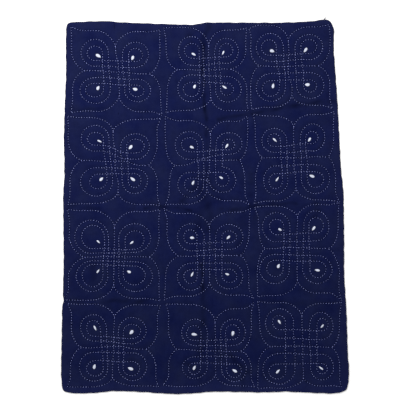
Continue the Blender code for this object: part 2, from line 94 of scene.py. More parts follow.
# Each block's four petals, at the upper left, lower left, lower right and upper right: the corner, then where
# the side that runs up the block lies and where the side that runs across it lies.
Petal = namedtuple("Petal", "corner side_x side_y")
PETALS = (
    (Petal((-0.442, 0.592), -0.440, 0.581), Petal((-0.441, 0.310), -0.437, 0.314),
     Petal((-0.142, 0.300), -0.145, 0.313), Petal((-0.147, 0.583), -0.148, 0.577)),
    (Petal((-0.135, 0.589), -0.128, 0.591), Petal((-0.128, 0.309), -0.124, 0.317),
     Petal((0.145, 0.317), 0.139, 0.316), Petal((0.138, 0.588), 0.136, 0.583)),
    (Petal((0.146, 0.586), 0.153, 0.599), Petal((0.157, 0.320), 0.152, 0.327),
     Petal((0.421, 0.323), 0.414, 0.334), Petal((0.411, 0.600), 0.414, 0.593)),
    (Petal((-0.452, 0.299), -0.451, 0.293), Petal((-0.451, 0.006), -0.445, 0.009),
     Petal((-0.149, 0.003), -0.156, 0.006), Petal((-0.145, 0.291), -0.157, 0.287)),
    (Petal((-0.130, 0.297), -0.130, 0.283), Petal((-0.130, 0.005), -0.117, 0.007),
     Petal((0.148, 0.005), 0.133, 0.019), Petal((0.141, 0.298), 0.142, 0.281)),
    (Petal((0.160, 0.305), 0.167, 0.299), Petal((0.163, 0.009), 0.169, 0.017),
     Petal((0.447, 0.014), 0.432, 0.021), Petal((0.427, 0.313), 0.426, 0.304)),
    (Petal((-0.452, -0.010), -0.447, -0.014), Petal((-0.461, -0.310), -0.450, -0.310),
     Petal((-0.147, -0.312), -0.151, -0.305), Petal((-0.148, -0.012), -0.151, -0.017)),
    (Petal((-0.135, -0.008), -0.124, -0.023), Petal((-0.133, -0.309), -0.130, -0.297),
     Petal((0.162, -0.305), 0.146, -0.293), Petal((0.152, -0.007), 0.147, -0.020)),
    (Petal((0.164, -0.002), 0.178, 0.000), Petal((0.175, -0.299), 0.174, -0.294),
     Petal((0.452, -0.310), 0.444, -0.287), Petal((0.444, 0.013), 0.441, 0.006)),
    (Petal((-0.452, -0.321), -0.440, -0.323), Petal((-0.454, -0.595), -0.443, -0.597),
     Petal((-0.151, -0.596), -0.162, -0.593), Petal((-0.146, -0.328), -0.156, -0.326)),
    (Petal((-0.129, -0.323), -0.119, -0.324), Petal((-0.137, -0.590), -0.119, -0.595),
     Petal((0.165, -0.596), 0.154, -0.593), Petal((0.163, -0.319), 0.154, -0.338)),
    (Petal((0.175, -0.314), 0.181, -0.318), Petal((0.175, -0.604), 0.176, -0.600),
     Petal((0.453, -0.598), 0.446, -0.593), Petal((0.452, -0.315), 0.446, -0.321)),
)  # fmt: skip

# Each block's four loops in the same order, in the middle and in the inner looped line: how far each reaches
# from the crossing, and whether the line goes round it the other way.
Turn = namedtuple("Turn", "left right foot head backwards", defaults=(False,))
MIDDLE_TURNS = (
    (Turn(-0.124, -0.034, 0.020, 0.108), Turn(-0.127, -0.028, -0.103, -0.017),
     Turn(0.019, 0.106, -0.097, -0.023), Turn(0.012, 0.099, 0.016, 0.099)),
    (Turn(-0.100, -0.018, 0.015, 0.111), Turn(-0.103, -0.016, -0.106, -0.017),
     Turn(0.022, 0.106, -0.107, -0.022), Turn(0.019, 0.097, 0.021, 0.105)),
    (Turn(-0.106, -0.017, 0.017, 0.110), Turn(-0.106, -0.010, -0.116, -0.023),
     Turn(0.026, 0.117, -0.106, -0.020), Turn(0.022, 0.113, 0.023, 0.106)),
    (Turn(-0.113, -0.021, 0.033, 0.119), Turn(-0.115, -0.010, -0.116, -0.021),
     Turn(0.022, 0.107, -0.107, -0.024), Turn(0.018, 0.113, 0.007, 0.091)),
    (Turn(-0.113, -0.020, 0.003, 0.095), Turn(-0.105, -0.019, -0.123, -0.040),
     Turn(0.020, 0.064, -0.086, -0.040), Turn(0.021, 0.108, 0.019, 0.092)),
    (Turn(-0.107, -0.024, 0.017, 0.097), Turn(-0.100, -0.021, -0.122, -0.027),
     Turn(0.025, 0.118, -0.119, -0.023), Turn(0.022, 0.102, 0.021, 0.112)),
    (Turn(-0.130, -0.019, 0.011, 0.120), Turn(-0.125, -0.022, -0.115, -0.014),
     Turn(0.015, 0.127, -0.115, -0.017), Turn(0.016, 0.120, 0.013, 0.109)),
    (Turn(-0.107, -0.019, 0.016, 0.104), Turn(-0.107, -0.021, -0.116, -0.026),
     Turn(0.019, 0.109, -0.111, -0.025), Turn(0.019, 0.110, 0.020, 0.102)),
    (Turn(-0.114, -0.023, 0.019, 0.115), Turn(-0.124, -0.025, -0.119, -0.023),
     Turn(0.020, 0.116, -0.119, -0.027), Turn(0.022, 0.106, 0.022, 0.121)),
    (Turn(-0.110, -0.023, 0.019, 0.105), Turn(-0.113, -0.019, -0.115, -0.019),
     Turn(0.016, 0.109, -0.113, -0.021), Turn(0.017, 0.108, 0.010, 0.096)),
    (Turn(-0.112, -0.028, 0.018, 0.105), Turn(-0.109, -0.028, -0.091, -0.018),
     Turn(0.020, 0.103, -0.101, -0.018), Turn(0.017, 0.099, 0.018, 0.105)),
    (Turn(-0.123, -0.030, 0.027, 0.124), Turn(-0.132, -0.025, -0.125, -0.024),
     Turn(0.026, 0.101, -0.111, -0.027), Turn(0.022, 0.100, 0.022, 0.112)),
)  # fmt: skip
INNER_TURNS = (
    (Turn(-0.104, -0.053, 0.039, 0.086), Turn(-0.109, -0.050, -0.082, -0.037),
     Turn(0.036, 0.084, -0.081, -0.043), Turn(0.033, 0.079, 0.036, 0.079)),
    (Turn(-0.081, -0.031, 0.038, 0.087), Turn(-0.085, -0.031, -0.088, -0.041),
     Turn(0.038, 0.081, -0.084, -0.043), Turn(0.034, 0.079, 0.042, 0.087)),
    (Turn(-0.090, -0.040, 0.037, 0.088), Turn(-0.086, -0.030, -0.099, -0.046),
     Turn(0.050, 0.093, -0.085, -0.044), Turn(0.042, 0.093, 0.042, 0.089)),
    (Turn(-0.093, -0.039, 0.052, 0.096), Turn(-0.085, -0.028, -0.091, -0.042),
     Turn(0.043, 0.085, -0.087, -0.041), Turn(0.038, 0.096, 0.027, 0.072)),
    (Turn(-0.093, -0.039, 0.028, 0.076), Turn(-0.083, -0.037, -0.103, -0.059),
     Turn(-0.002, 0.087, -0.106, -0.023, True), Turn(0.043, 0.083, 0.035, 0.071)),
    (Turn(-0.088, -0.045, 0.037, 0.079), Turn(-0.083, -0.038, -0.102, -0.052),
     Turn(0.045, 0.098, -0.099, -0.046), Turn(0.039, 0.079, 0.046, 0.087)),
    (Turn(-0.108, -0.032, 0.026, 0.104), Turn(-0.105, -0.037, -0.099, -0.026),
     Turn(0.031, 0.103, -0.093, -0.031), Turn(0.037, 0.099, 0.023, 0.086)),
    (Turn(-0.086, -0.042, 0.039, 0.084), Turn(-0.086, -0.041, -0.093, -0.047),
     Turn(0.040, 0.089, -0.090, -0.046), Turn(0.040, 0.089, 0.043, 0.080)),
    (Turn(-0.091, -0.043, 0.043, 0.094), Turn(-0.101, -0.045, -0.096, -0.043),
     Turn(0.043, 0.096, -0.099, -0.046), Turn(0.039, 0.088, 0.048, 0.099)),
    (Turn(-0.090, -0.043, 0.034, 0.086), Turn(-0.090, -0.034, -0.098, -0.047),
     Turn(0.033, 0.086, -0.097, -0.050), Turn(0.033, 0.089, 0.027, 0.073)),
    (Turn(-0.096, -0.049, 0.035, 0.084), Turn(-0.089, -0.050, -0.078, -0.039),
     Turn(0.037, 0.086, -0.088, -0.043), Turn(0.033, 0.080, 0.037, 0.087)),
    (Turn(-0.099, -0.057, 0.055, 0.101), Turn(-0.112, -0.057, -0.108, -0.059),
     Turn(0.047, 0.081, -0.091, -0.057), Turn(0.047, 0.084, 0.052, 0.092)),
)  # fmt: skip
LOOP_STARTS = np.radians((270, 0, 90, 180))
LOOP_SWEEP = np.radians(-270)
LOOP_POINTS = 25

# A strand, between two loops or along a middle line, drifts over in the middle of its way.
STRAND_EASE = (0.2, 0.8)
STRAND_POINTS = 14

# A petal's side leaves the middle line in a rounded shoulder, runs level, and flares to the block's corner.
SHOULDER_END = 0.45
SHOULDER_POWER = 1.12
FLARE_START = 0.74
FLARE_POWER = 1.5
SHOULDER_POINTS = 12
LEVEL_POINTS = 4
FLARE_POINTS = 7

# Slow waves: the length over which each turns by one radian along x and along y, its start and its share.
Wave = namedtuple("Wave", "length_x length_y start share")
SIDEWAYS_WAVES = (Wave(0.031, 0.017, 0.7, 1.0), Wave(0.013, -0.023, 2.1, 0.6))
UPWARD_WAVES = (Wave(-0.019, 0.029, 1.3, 1.0), Wave(0.021, 0.014, 4.0, 0.6))
WANDER = 0.0006


def resample(points, step, closed=False):
    """Points at an even spacing near step along a polyline, with its two ends kept where it is open."""
    points = np.asarray(points, float)
    if closed:
        points = np.vstack([points, points[:1]])
    travelled = np.concatenate([[0.0], np.cumsum(np.linalg.norm(np.diff(points, axis=0), axis=1))])
    count = max(2, round(travelled[-1] / step))
    at = np.linspace(0.0, travelled[-1], count + 1)
    if closed:
        at = at[:-1]
    return np.column_stack([np.interp(at, travelled, points[:, axis]) for axis in (0, 1)])


def outline():
    """The edge through its stations, eased by a running mean so that its corners are round."""
    fine = resample(HEAD_SIDE + RIGHT_SIDE + FOOT_SIDE + LEFT_SIDE, OUTLINE_STEP, closed=True)
    reach = np.arange(-CORNER_EASE_STEPS, CORNER_EASE_STEPS + 1)
    weights = np.exp(-0.5 * (reach * OUTLINE_STEP / CORNER_EASE) ** 2)
    weights /= weights.sum()
    return sum(weight * np.roll(fine, shift, axis=0) for weight, shift in zip(weights, reach))


def inset(ring, distance):
    """A clockwise ring moved inwards, square to its own direction."""
    along = np.roll(ring, -1, axis=0) - np.roll(ring, 1, axis=0)
    along /= np.linalg.norm(along, axis=1)[:, None]
    return ring + distance * np.column_stack([along[:, 1], -along[:, 0]])


def waves(points, table):
    """The sum of each wave's share times the sine of x and y over its lengths."""
    x, y = points[:, 0], points[:, 1]
    return sum(wave.share * np.sin(x / wave.length_x + y / wave.length_y + wave.start) for wave in table)


def wander(points):
    """A slow waver of under a millimetre, the same wherever two lines cross."""
    return points + WANDER * np.column_stack([waves(points, SIDEWAYS_WAVES), waves(points, UPWARD_WAVES)])


def strand(start, end, across):
    """Points from start to end: evenly one way, and easing over by 3t^2 - 2t^3 along x (0) or y (1)."""
    share = np.linspace(0.0, 1.0, STRAND_POINTS)
    ease = np.clip((share - STRAND_EASE[0]) / (STRAND_EASE[1] - STRAND_EASE[0]), 0.0, 1.0)
    points = start + share[:, None] * np.subtract(end, start)
    points[:, across] = start[across] + ease**2 * (3 - 2 * ease) * (end[across] - start[across])
    return points


def petal_side(start, corner, along, side):
    """A petal's side, running along x (0) or y (1) from a middle line's end to the block's corner.

    With t a quarter turn the shoulder is at 1 - cos^1.12 t of its length and sin^1.12 t of its rise; the side
    then keeps its level, and flares out by the power 1.5 of the way left."""
    turn = np.linspace(0.0, np.pi / 2, SHOULDER_POINTS)
    level = np.linspace(SHOULDER_END, FLARE_START, LEVEL_POINTS)[1:]
    flare = np.linspace(FLARE_START, 1.0, FLARE_POINTS)[1:]
    share = np.concatenate([SHOULDER_END * (1 - np.cos(turn) ** SHOULDER_POWER), level, flare])
    across = 1 - along
    shoulder = start[across] + (side - start[across]) * np.sin(turn) ** SHOULDER_POWER
    flared = side + (corner[across] - side) * ((flare - FLARE_START) / (1 - FLARE_START)) ** FLARE_POWER
    points = np.empty((len(share), 2))
    points[:, along] = start[along] + share * (corner[along] - start[along])
    points[:, across] = np.concatenate([shoulder, np.full(len(level), side), flared])
    return points


def petal_lines(block, petals):
    """A block's outer lines: two middle lines, and from their ends four petals out to its corners."""
    upright = np.vstack([strand(block.top, block.cross, 0), strand(block.cross, block.bottom, 0)[1:]])
    level = np.vstack([strand(block.left, block.cross, 1), strand(block.cross, block.right, 1)[1:]])
    lines = [upright, level]
    ends = (
        (block.top, block.left), (block.bottom, block.left), (block.bottom, block.right),
        (block.top, block.right),
    )  # fmt: skip
    for petal, (upright_end, level_end) in zip(petals, ends):
        across = petal_side(upright_end, petal.corner, 0, petal.side_y)
        down = petal_side(level_end, petal.corner, 1, petal.side_x)
        lines.append(np.vstack([across, down[-2::-1]]))
    return lines


def looped_line(block, turns):
    """A closed looped square: three quarters of the way round each oval loop, joined by strands.

    A loop is half its width times cos and half its height times sin, about its middle."""
    curves = []
    for turn, start in zip(turns, LOOP_STARTS):
        angle = start + np.linspace(0.0, LOOP_SWEEP, LOOP_POINTS)
        x = (turn.left + turn.right) / 2 + (turn.right - turn.left) / 2 * np.cos(angle)
        y = (turn.foot + turn.head) / 2 + (turn.head - turn.foot) / 2 * np.sin(angle)
        curve = np.column_stack([x, y]) + block.cross
        curves.append(curve[::-1] if turn.backwards else curve)
    pieces = []
    for number, curve in enumerate(curves):
        after = curves[(number + 1) % len(curves)]
        pieces += [curve, strand(curve[-1], after[0], number % 2)[1:-1]]
    return np.vstack(pieces)


# Every line of stitches as (points, closed), in three lots: middle lines and petals, and the two sizes of
# looped square.
petal_stitching = []
outer_loop_stitching = []
inner_loop_stitching = []
for block, petals, middle, inner in zip(BLOCKS, PETALS, MIDDLE_TURNS, INNER_TURNS):
    petal_stitching += [(wander(line), False) for line in petal_lines(block, petals)]
    outer_loop_stitching.append((wander(looped_line(block, middle)), True))
    inner_loop_stitching.append((wander(looped_line(block, inner)), True))

# The grid of the face, of which the underside keeps every third line.
GRID_COLUMNS = 252
GRID_ROWS = 327
UNDERSIDE_EVERY = 3

# The rim from the face to the underside: how far each ring lies inside the outline, and its height. The
# third and fourth rings dip into the seam.
Ring = namedtuple("Ring", "inset height")
RIM = (
    Ring(0.0034, 0.0038), Ring(0.0013, 0.0034), Ring(0.0002, 0.0026), Ring(0.0008, 0.0019),
    Ring(0.0001, 0.0013), Ring(0.0026, 0.0004),
)  # fmt: skip
UNDERSIDE_INSET = 0.009
RIM_EASE = 0.006
EDGE_WAVES = (Wave(0.0061, 0.0047, 0.0, 1.0), Wave(-0.0103, 0.0083, 1.0, 1.0))
EDGE_WAVER = 0.0004

# Heights of the face, and how the cloth rises away from a line: a rounded valley, then a long swell.
STITCH_HEIGHT = 0.0024
PUFF_HEIGHT = 0.0057
LOWEST_FACE = 0.0018
PUFF_SPREAD = 0.0095
VALLEY_ROUNDING = 0.0026
CLOTH_WAVES = (Wave(0.043, 0.057, 0.5, 1.0), Wave(-0.061, 0.039, 2.2, 0.8))
CLOTH_WAVE_HEIGHT = 0.0002
LUMP_WAVES = (
    Wave(0.0093, 0.0071, 0.3, 1.0), Wave(-0.0067, 0.0117, 1.9, 1.0), Wave(0.0143, -0.0053, 4.1, 0.8),
    Wave(-0.0051, -0.0087, 2.7, 0.7),
)  # fmt: skip
LUMP_HEIGHT = 0.00009

# The creases left by folding, and the broad dents beside them: from and to, how deep and how wide. The last
# three are ridges, where the cloth was folded the other way.
FOLDS = (
    ((0.010, 0.598), (-0.005, 0.534), 0.0012, 0.011), ((-0.005, 0.534), (-0.004, 0.450), 0.0015, 0.010),
    ((-0.004, 0.450), (-0.002, 0.372), 0.0009, 0.008), ((-0.002, 0.372), (0.005, 0.282), 0.0015, 0.007),
    ((0.005, 0.282), (0.007, 0.230), 0.0011, 0.007), ((0.007, 0.230), (0.007, 0.109), 0.0006, 0.006),
    ((0.004, 0.094), (-0.076, 0.018), 0.0009, 0.010), ((0.004, 0.094), (0.050, 0.018), 0.0007, 0.010),
    ((0.002, 0.090), (-0.012, 0.045), 0.0008, 0.020), ((-0.006, 0.018), (-0.025, -0.083), 0.0007, 0.014),
    ((-0.025, -0.083), (-0.010, -0.190), 0.0002, 0.010), ((-0.010, -0.190), (-0.005, -0.276), 0.0016, 0.007),
    ((-0.005, -0.276), (-0.005, -0.397), 0.0010, 0.010), ((-0.005, -0.397), (-0.015, -0.508), 0.0008, 0.016),
    ((-0.015, -0.508), (-0.015, -0.590), 0.0004, 0.012), ((0.045, 0.289), (0.147, 0.304), 0.0011, 0.007),
    ((0.147, 0.304), (0.187, 0.313), 0.0010, 0.008), ((0.187, 0.313), (0.299, 0.332), 0.0012, 0.008),
    ((0.299, 0.332), (0.380, 0.346), 0.0010, 0.008), ((0.380, 0.346), (0.430, 0.344), 0.0008, 0.009),
    ((-0.445, 0.320), (-0.339, 0.324), 0.0006, 0.007), ((-0.235, 0.320), (-0.180, 0.308), 0.0003, 0.007),
    ((-0.455, 0.001), (-0.349, -0.006), 0.0006, 0.007), ((-0.197, -0.008), (-0.157, -0.001), 0.0011, 0.007),
    ((-0.157, -0.001), (-0.106, -0.003), 0.0010, 0.007), ((-0.106, -0.003), (-0.046, -0.015), 0.0010, 0.007),
    ((0.056, -0.013), (0.117, -0.008), 0.0008, 0.006), ((0.117, -0.008), (0.228, 0.008), 0.0011, 0.007),
    ((0.228, 0.008), (0.299, 0.008), 0.0010, 0.007), ((0.369, 0.008), (0.369, -0.032), 0.0008, 0.012),
    ((-0.440, -0.314), (-0.422, -0.314), 0.0006, 0.008), ((-0.329, -0.313), (-0.187, -0.313), 0.0011, 0.008),
    ((0.190, -0.316), (0.440, -0.331), 0.0003, 0.010), ((0.086, -0.498), (0.147, -0.549), 0.0010, 0.010),
    ((0.127, -0.560), (0.127, -0.600), 0.0007, 0.008), ((-0.065, -0.518), (-0.025, -0.538), 0.0007, 0.010),
    ((0.150, 0.105), (0.152, 0.035), 0.0006, 0.010), ((0.153, 0.010), (0.165, -0.065), 0.0005, 0.009),
    ((0.010, 0.030), (0.010, -0.075), 0.0009, 0.018), ((0.132, -0.025), (0.109, -0.125), 0.0005, 0.014),
    ((0.237, -0.185), (0.237, -0.205), 0.0005, 0.013), ((-0.367, -0.200), (-0.369, -0.255), 0.0008, 0.013),
    ((0.029, -0.450), (0.060, -0.520), 0.0005, 0.013), ((-0.354, 0.505), (-0.350, 0.498), 0.0005, 0.010),
    ((-0.052, 0.562), (-0.048, 0.545), 0.0009, 0.011), ((-0.280, 0.285), (-0.164, 0.295), -0.0006, 0.007),
    ((-0.309, -0.038), (-0.218, -0.023), -0.0007, 0.006),
    ((-0.218, -0.023), (-0.157, -0.012), -0.0003, 0.006),
)  # fmt: skip
FOLD_WAVER = 2.5
DEEPEST_FOLD = 0.0010
UNEVEN_WAVES = (Wave(0.0121, 0.0163, 0.4, 0.3), Wave(-0.0078, 0.0066, 3.0, 0.25))
SHALLOWEST, DEEPEST = 0.45, 1.5

# How a line is walked to find the stitching nearest to a point of the cloth.
WALK_STEP = 0.003
STITCHING_REACH = 0.030
STITCH_PITCH = 0.0089


Walked = namedtuple("Walked", "place heading stitches line")


def walk(lines):
    """Every stitched line in short steps: each one's place, heading, stitches so far and line number."""
    steps = []
    for number, (line, closed) in enumerate(lines):
        place = resample(line, WALK_STEP, closed)
        ahead = np.roll(place, -1, axis=0) - place
        heading = ahead + np.roll(ahead, 1, axis=0)
        if not closed:
            heading[0], heading[-1] = ahead[0], ahead[-2]
        heading /= np.linalg.norm(heading, axis=1)[:, None]
        length = np.linalg.norm(ahead[0]) * (len(place) - (not closed))
        run = np.linspace(0.0, length, len(place), endpoint=not closed)
        stitches = run * round(length / STITCH_PITCH) / length
        steps.append(Walked(place, heading, stitches, np.full(len(place), number)))
    return Walked(*(np.concatenate(column) for column in zip(*steps)))


walked = walk(petal_stitching + outer_loop_stitching + inner_loop_stitching)


def nearest_step(points):
    """For each point, the nearest step of all the stitching and how far it is, up to the reach."""
    away = np.full(len(points), STITCHING_REACH)
    step = np.zeros(len(points), int)
    for number in np.unique(walked.line):
        own = np.flatnonzero(walked.line == number)
        low, high = walked.place[own].min(axis=0), walked.place[own].max(axis=0)
        near = ((points > low - STITCHING_REACH) & (points < high + STITCHING_REACH)).all(axis=1)
        near = np.flatnonzero(near)
        distance = np.linalg.norm(points[near, None] - walked.place[own], axis=2)
        closest = distance.argmin(axis=1)
        distance = distance[np.arange(len(near)), closest]
        closer = distance < away[near]
        away[near[closer]] = distance[closer]
        step[near[closer]] = own[closest[closer]]
    return step, away


def beside(points, step):
    """Where points lie by a step of the stitching: how far along its heading, and how far to its left."""
    gap = points - walked.place[step]
    heading = walked.heading[step]
    along = (gap * heading).sum(axis=-1)
    return along, heading[..., 0] * gap[..., 1] - heading[..., 1] * gap[..., 0]


def stitching_distance(points):
    """The distance from each point to the nearest stitched line, square to the line where it goes on."""
    step, away = nearest_step(points)
    along, square = beside(points, step)
    beyond = np.maximum(np.abs(along) - WALK_STEP, 0.0)
    return np.minimum(away, np.hypot(square, beyond))


def creases(points):
    """How far creases lower the cloth, unevenly: the most that any one trough does, less the highest ridge.

    Each lowers it by its depth times exp(-(distance / width)^2) from its wavering line."""
    bent = points + FOLD_WAVER * (wander(points) - points)
    trough, ridge = np.zeros((2, len(points)))
    for start, end, depth, width in FOLDS:
        run = np.subtract(end, start)
        share = np.clip((bent - start) @ run / (run @ run), 0.0, 1.0)
        off = np.linalg.norm(bent - start - share[:, None] * run, axis=1)
        lowered = depth * np.exp(-((off / width) ** 2))
        trough, ridge = np.maximum(trough, lowered), np.minimum(ridge, lowered)
    return (trough + ridge) * np.clip(1 + waves(points, UNEVEN_WAVES), SHALLOWEST, DEEPEST)


def face_height(points, away):
    """The face: stitch height, plus the puff times 1 - exp(-distance), plus waves and lumps, less creases."""
    rise = np.hypot(away, VALLEY_ROUNDING) - VALLEY_ROUNDING
    puffed = 1 - np.exp(-rise / PUFF_SPREAD)
    height = STITCH_HEIGHT + (PUFF_HEIGHT - STITCH_HEIGHT) * puffed
    height += CLOTH_WAVE_HEIGHT * waves(points, CLOTH_WAVES) + LUMP_HEIGHT * waves(points, LUMP_WAVES)
    return np.maximum(height - creases(points), LOWEST_FACE)


def cloth_height(points):
    """The face's height at any point of the cloth away from its rim."""
    return face_height(points, stitching_distance(points))


def edge_loop(depth):
    """The outline moved inwards, with a point for each grid line, clockwise from the head's left corner."""
    ring = outline()
    ring = inset(ring, EDGE_WAVER * waves(ring, EDGE_WAVES)[:, None])
    starts = [(ring @ towards).argmax() for towards in ((-1, 1), (1, 1), (1, -1), (-1, -1))]
    ring = np.roll(ring, -starts[0], axis=0)
    cuts = [(start - starts[0]) % len(ring) for start in starts] + [len(ring)]
    ring = np.vstack([ring, ring[:1]])
    counts = (GRID_COLUMNS, GRID_ROWS, GRID_COLUMNS, GRID_ROWS)
    sides = []
    for first, last, count in zip(cuts, cuts[1:], counts):
        side = ring[first : last + 1]
        length = np.linalg.norm(np.diff(side, axis=0), axis=1).sum()
        sides.append(resample(side, length / count)[:-1])
    return inset(np.vstack(sides), depth)


def patch(loop, columns, rows):
    """A Coons patch: head and foot blended down it, plus left and right blended across, less the corners."""
    head = loop[: columns + 1]
    right = loop[columns : columns + rows + 1]
    foot = loop[columns + rows : 2 * columns + rows + 1][::-1]
    left = np.vstack([loop[2 * columns + rows :], loop[:1]])[::-1]
    across = np.linspace(0.0, 1.0, columns + 1)[None, :, None]
    down = np.linspace(0.0, 1.0, rows + 1)[:, None, None]
    lengthways = (1 - down) * head[None] + down * foot[None]
    sideways = (1 - across) * left[:, None] + across * right[:, None]
    upper = (1 - across) * head[0] + across * head[-1]
    lower = (1 - across) * foot[0] + across * foot[-1]
    return (lengthways + sideways - (1 - down) * upper - down * lower).reshape(-1, 2)


def grid_faces(columns, rows):
    """A grid's quads, facing up, and its border's points, clockwise from its upper left."""
    at = np.arange((rows + 1) * (columns + 1)).reshape(rows + 1, columns + 1)
    quads = np.stack([at[:-1, :-1], at[1:, :-1], at[1:, 1:], at[:-1, 1:]], axis=-1).reshape(-1, 4)
    return quads, np.concatenate([at[0, :-1], at[:-1, -1], at[-1, :0:-1], at[:0:-1, 0]])


def quilt_cloth():
    """Points and faces, and what each point and each face corner keeps for the material to read."""
    loops = [edge_loop(ring.inset) for ring in RIM]
    face = patch(loops[0], GRID_COLUMNS, GRID_ROWS)
    quads, border = grid_faces(GRID_COLUMNS, GRID_ROWS)
    row, column = np.divmod(np.arange(len(face)), GRID_COLUMNS + 1)
    from_edge = np.minimum.reduce([row, GRID_ROWS - row, column, GRID_COLUMNS - column])
    from_edge = from_edge * np.linalg.norm(face[1] - face[0])
    settled = 1 - np.exp(-from_edge / RIM_EASE)
    height = RIM[0].height + (cloth_height(face) - RIM[0].height) * settled
    below_columns, below_rows = GRID_COLUMNS // UNDERSIDE_EVERY, GRID_ROWS // UNDERSIDE_EVERY
    below = patch(edge_loop(UNDERSIDE_INSET)[::UNDERSIDE_EVERY], below_columns, below_rows)
    below_quads, below_border = grid_faces(below_columns, below_rows)

    flat = np.vstack([face] + loops[1:] + [below])
    heights = [height] + [np.full(len(border), ring.height) for ring in RIM[1:]]
    heights.append(np.full(len(below), RIM[-1].height))
    faces = quads.tolist()
    upper = border
    for number in range(1, len(RIM)):
        lower = len(face) + (number - 1) * len(border) + np.arange(len(border))
        faces += np.column_stack([upper, np.roll(upper, -1), np.roll(lower, -1), lower]).tolist()
        upper = lower
    inner = len(flat) - len(below) + below_border
    after = np.roll(inner, -1)
    first, second, third = (upper[start::UNDERSIDE_EVERY] for start in range(UNDERSIDE_EVERY))
    fourth = np.roll(first, -1)
    for corners in (
        (first, second, inner), (second, third, inner), (third, after, inner), (third, fourth, after)
    ):  # fmt: skip
        faces += np.column_stack(corners).tolist()
    faces += (below_quads[:, ::-1] + len(flat) - len(below)).tolist()

    step, _ = nearest_step(face[quads].mean(axis=1))
    along, square = beside(face[quads], step[:, None])
    stitches = walked.stitches[step][:, None] + along / STITCH_PITCH
    others = sum(len(corners) for corners in faces) - quads.size
    at_corners = {
        "stitch_side": np.concatenate([square.ravel(), np.full(others, STITCHING_REACH)]),
        "stitch_count": np.concatenate([stitches.ravel(), np.zeros(others)]),
    }
    beyond = np.zeros(len(flat) - len(face))
    at_points = {
        "crease": np.concatenate([creases(face), beyond]) / DEEPEST_FOLD,
        "from_edge": np.concatenate([from_edge, beyond]),
    }
    return np.column_stack([flat - MIDDLE, np.concatenate(heights)]), faces, at_points, at_corners


def new_piece(name, points, faces, material):
    """An object at the origin with a smooth mesh of these points and faces."""
    mesh = bpy.data.meshes.new(name)
    mesh.from_pydata(points, [], faces)
    mesh.shade_smooth()
    mesh.materials.append(material)
    piece = bpy.data.objects.new(name, mesh)
    bpy.context.scene.collection.objects.link(piece)
    return piece


def store(piece, domain, named):
    """Named numbers kept at a mesh's points or face corners, for its material to read."""
    for label, values in named.items():
        stored = piece.data.attributes.new(label, "FLOAT", domain)
        stored.data.foreach_set("value", values.astype(np.float32))


def add_node(tree, kind, inputs=None, **settings):
    """A node with its settings made and its inputs linked to sockets or set to values."""
    made = tree.nodes.new("ShaderNode" + kind)
    for name, value in settings.items():
        setattr(made, name, value)
    for name, value in (inputs or {}).items():
        if isinstance(value, bpy.types.NodeSocket):
            tree.links.new(value, made.inputs[name])
        else:
            made.inputs[name].default_value = value
    return made


def calculated(tree, operation, first, second=0.0, third=0.0):
    """A Math node's result."""
    return add_node(tree, "Math", {0: first, 1: second, 2: third}, operation=operation).outputs[0]


def noise(tree, place, size, stretch=(1.0, 1.0, 1.0), detail=2.0, roughness=0.5):
    """Noise with blobs of about size metres, drawn out along the axes whose stretch is over 1."""
    scale = tuple(1 / (size * length) for length in stretch)
    scaled = add_node(tree, "VectorMath", {0: place, 1: scale}, operation="MULTIPLY").outputs[0]
    inputs = {"Vector": scaled, "Scale": 1.0, "Detail": detail, "Roughness": roughness}
    return add_node(tree, "TexNoise", inputs).outputs["Fac"]


def mixed(tree, share, first, second):
    """A colour between two others."""
    made = add_node(tree, "Mix", {0: share, 6: first, 7: second}, data_type="RGBA")
    return made.outputs[2]


def new_material(name, roughness, specular, sheen, sheen_roughness):
    """A material, its node tree and its Principled BSDF, with what is the same all over set on the shader."""
    material = bpy.data.materials.new(name)
    material.use_nodes = True
    shader = material.node_tree.nodes["Principled BSDF"]
    shader.inputs["Roughness"].default_value = roughness
    shader.inputs["Specular IOR Level"].default_value = specular
    shader.inputs["Sheen Weight"].default_value = sheen
    shader.inputs["Sheen Roughness"].default_value = sheen_roughness
    return material, material.node_tree, shader


FIBRE_CLUMPS = 0.31


def cotton_fibre_group():
    """Cotton's lint, for cloth and thread alike: a Tone and a Height from noise at the fibres' own size."""
    group = bpy.data.node_groups.new("cotton fibres", "ShaderNodeTree")
    group.interface.new_socket("Fibre Size", in_out="INPUT", socket_type="NodeSocketFloat")
    group.interface.new_socket("Tone", in_out="OUTPUT", socket_type="NodeSocketFloat")
    group.interface.new_socket("Height", in_out="OUTPUT", socket_type="NodeSocketFloat")
    given = group.nodes.new("NodeGroupInput")
    place = add_node(group, "TexCoord").outputs["Object"]
    scale = calculated(group, "DIVIDE", 1.0, given.outputs["Fibre Size"])
    fine = {"Vector": place, "Scale": scale, "Detail": 3.0, "Roughness": 0.6, "Distortion": 0.8}
    tone = add_node(group, "TexNoise", fine).outputs["Fac"]
    coarse = calculated(group, "MULTIPLY", scale, FIBRE_CLUMPS)
    height = add_node(group, "TexNoise", {"Vector": place, "Scale": coarse, "Detail": 4.0}).outputs["Fac"]
    result = group.nodes.new("NodeGroupOutput")
    group.links.new(tone, result.inputs["Tone"])
    group.links.new(height, result.inputs["Height"])
    return group


fibre_group = cotton_fibre_group()

NAVY = (0.0022, 0.0039, 0.0287, 1.0)
PALE_NAVY = (0.0048, 0.0076, 0.0427, 1.0)
# The darker navy that the painted shade mixes the cloth towards.
PAINTED_SHADE_NAVY = (0.0012, 0.0020, 0.0105, 1.0)
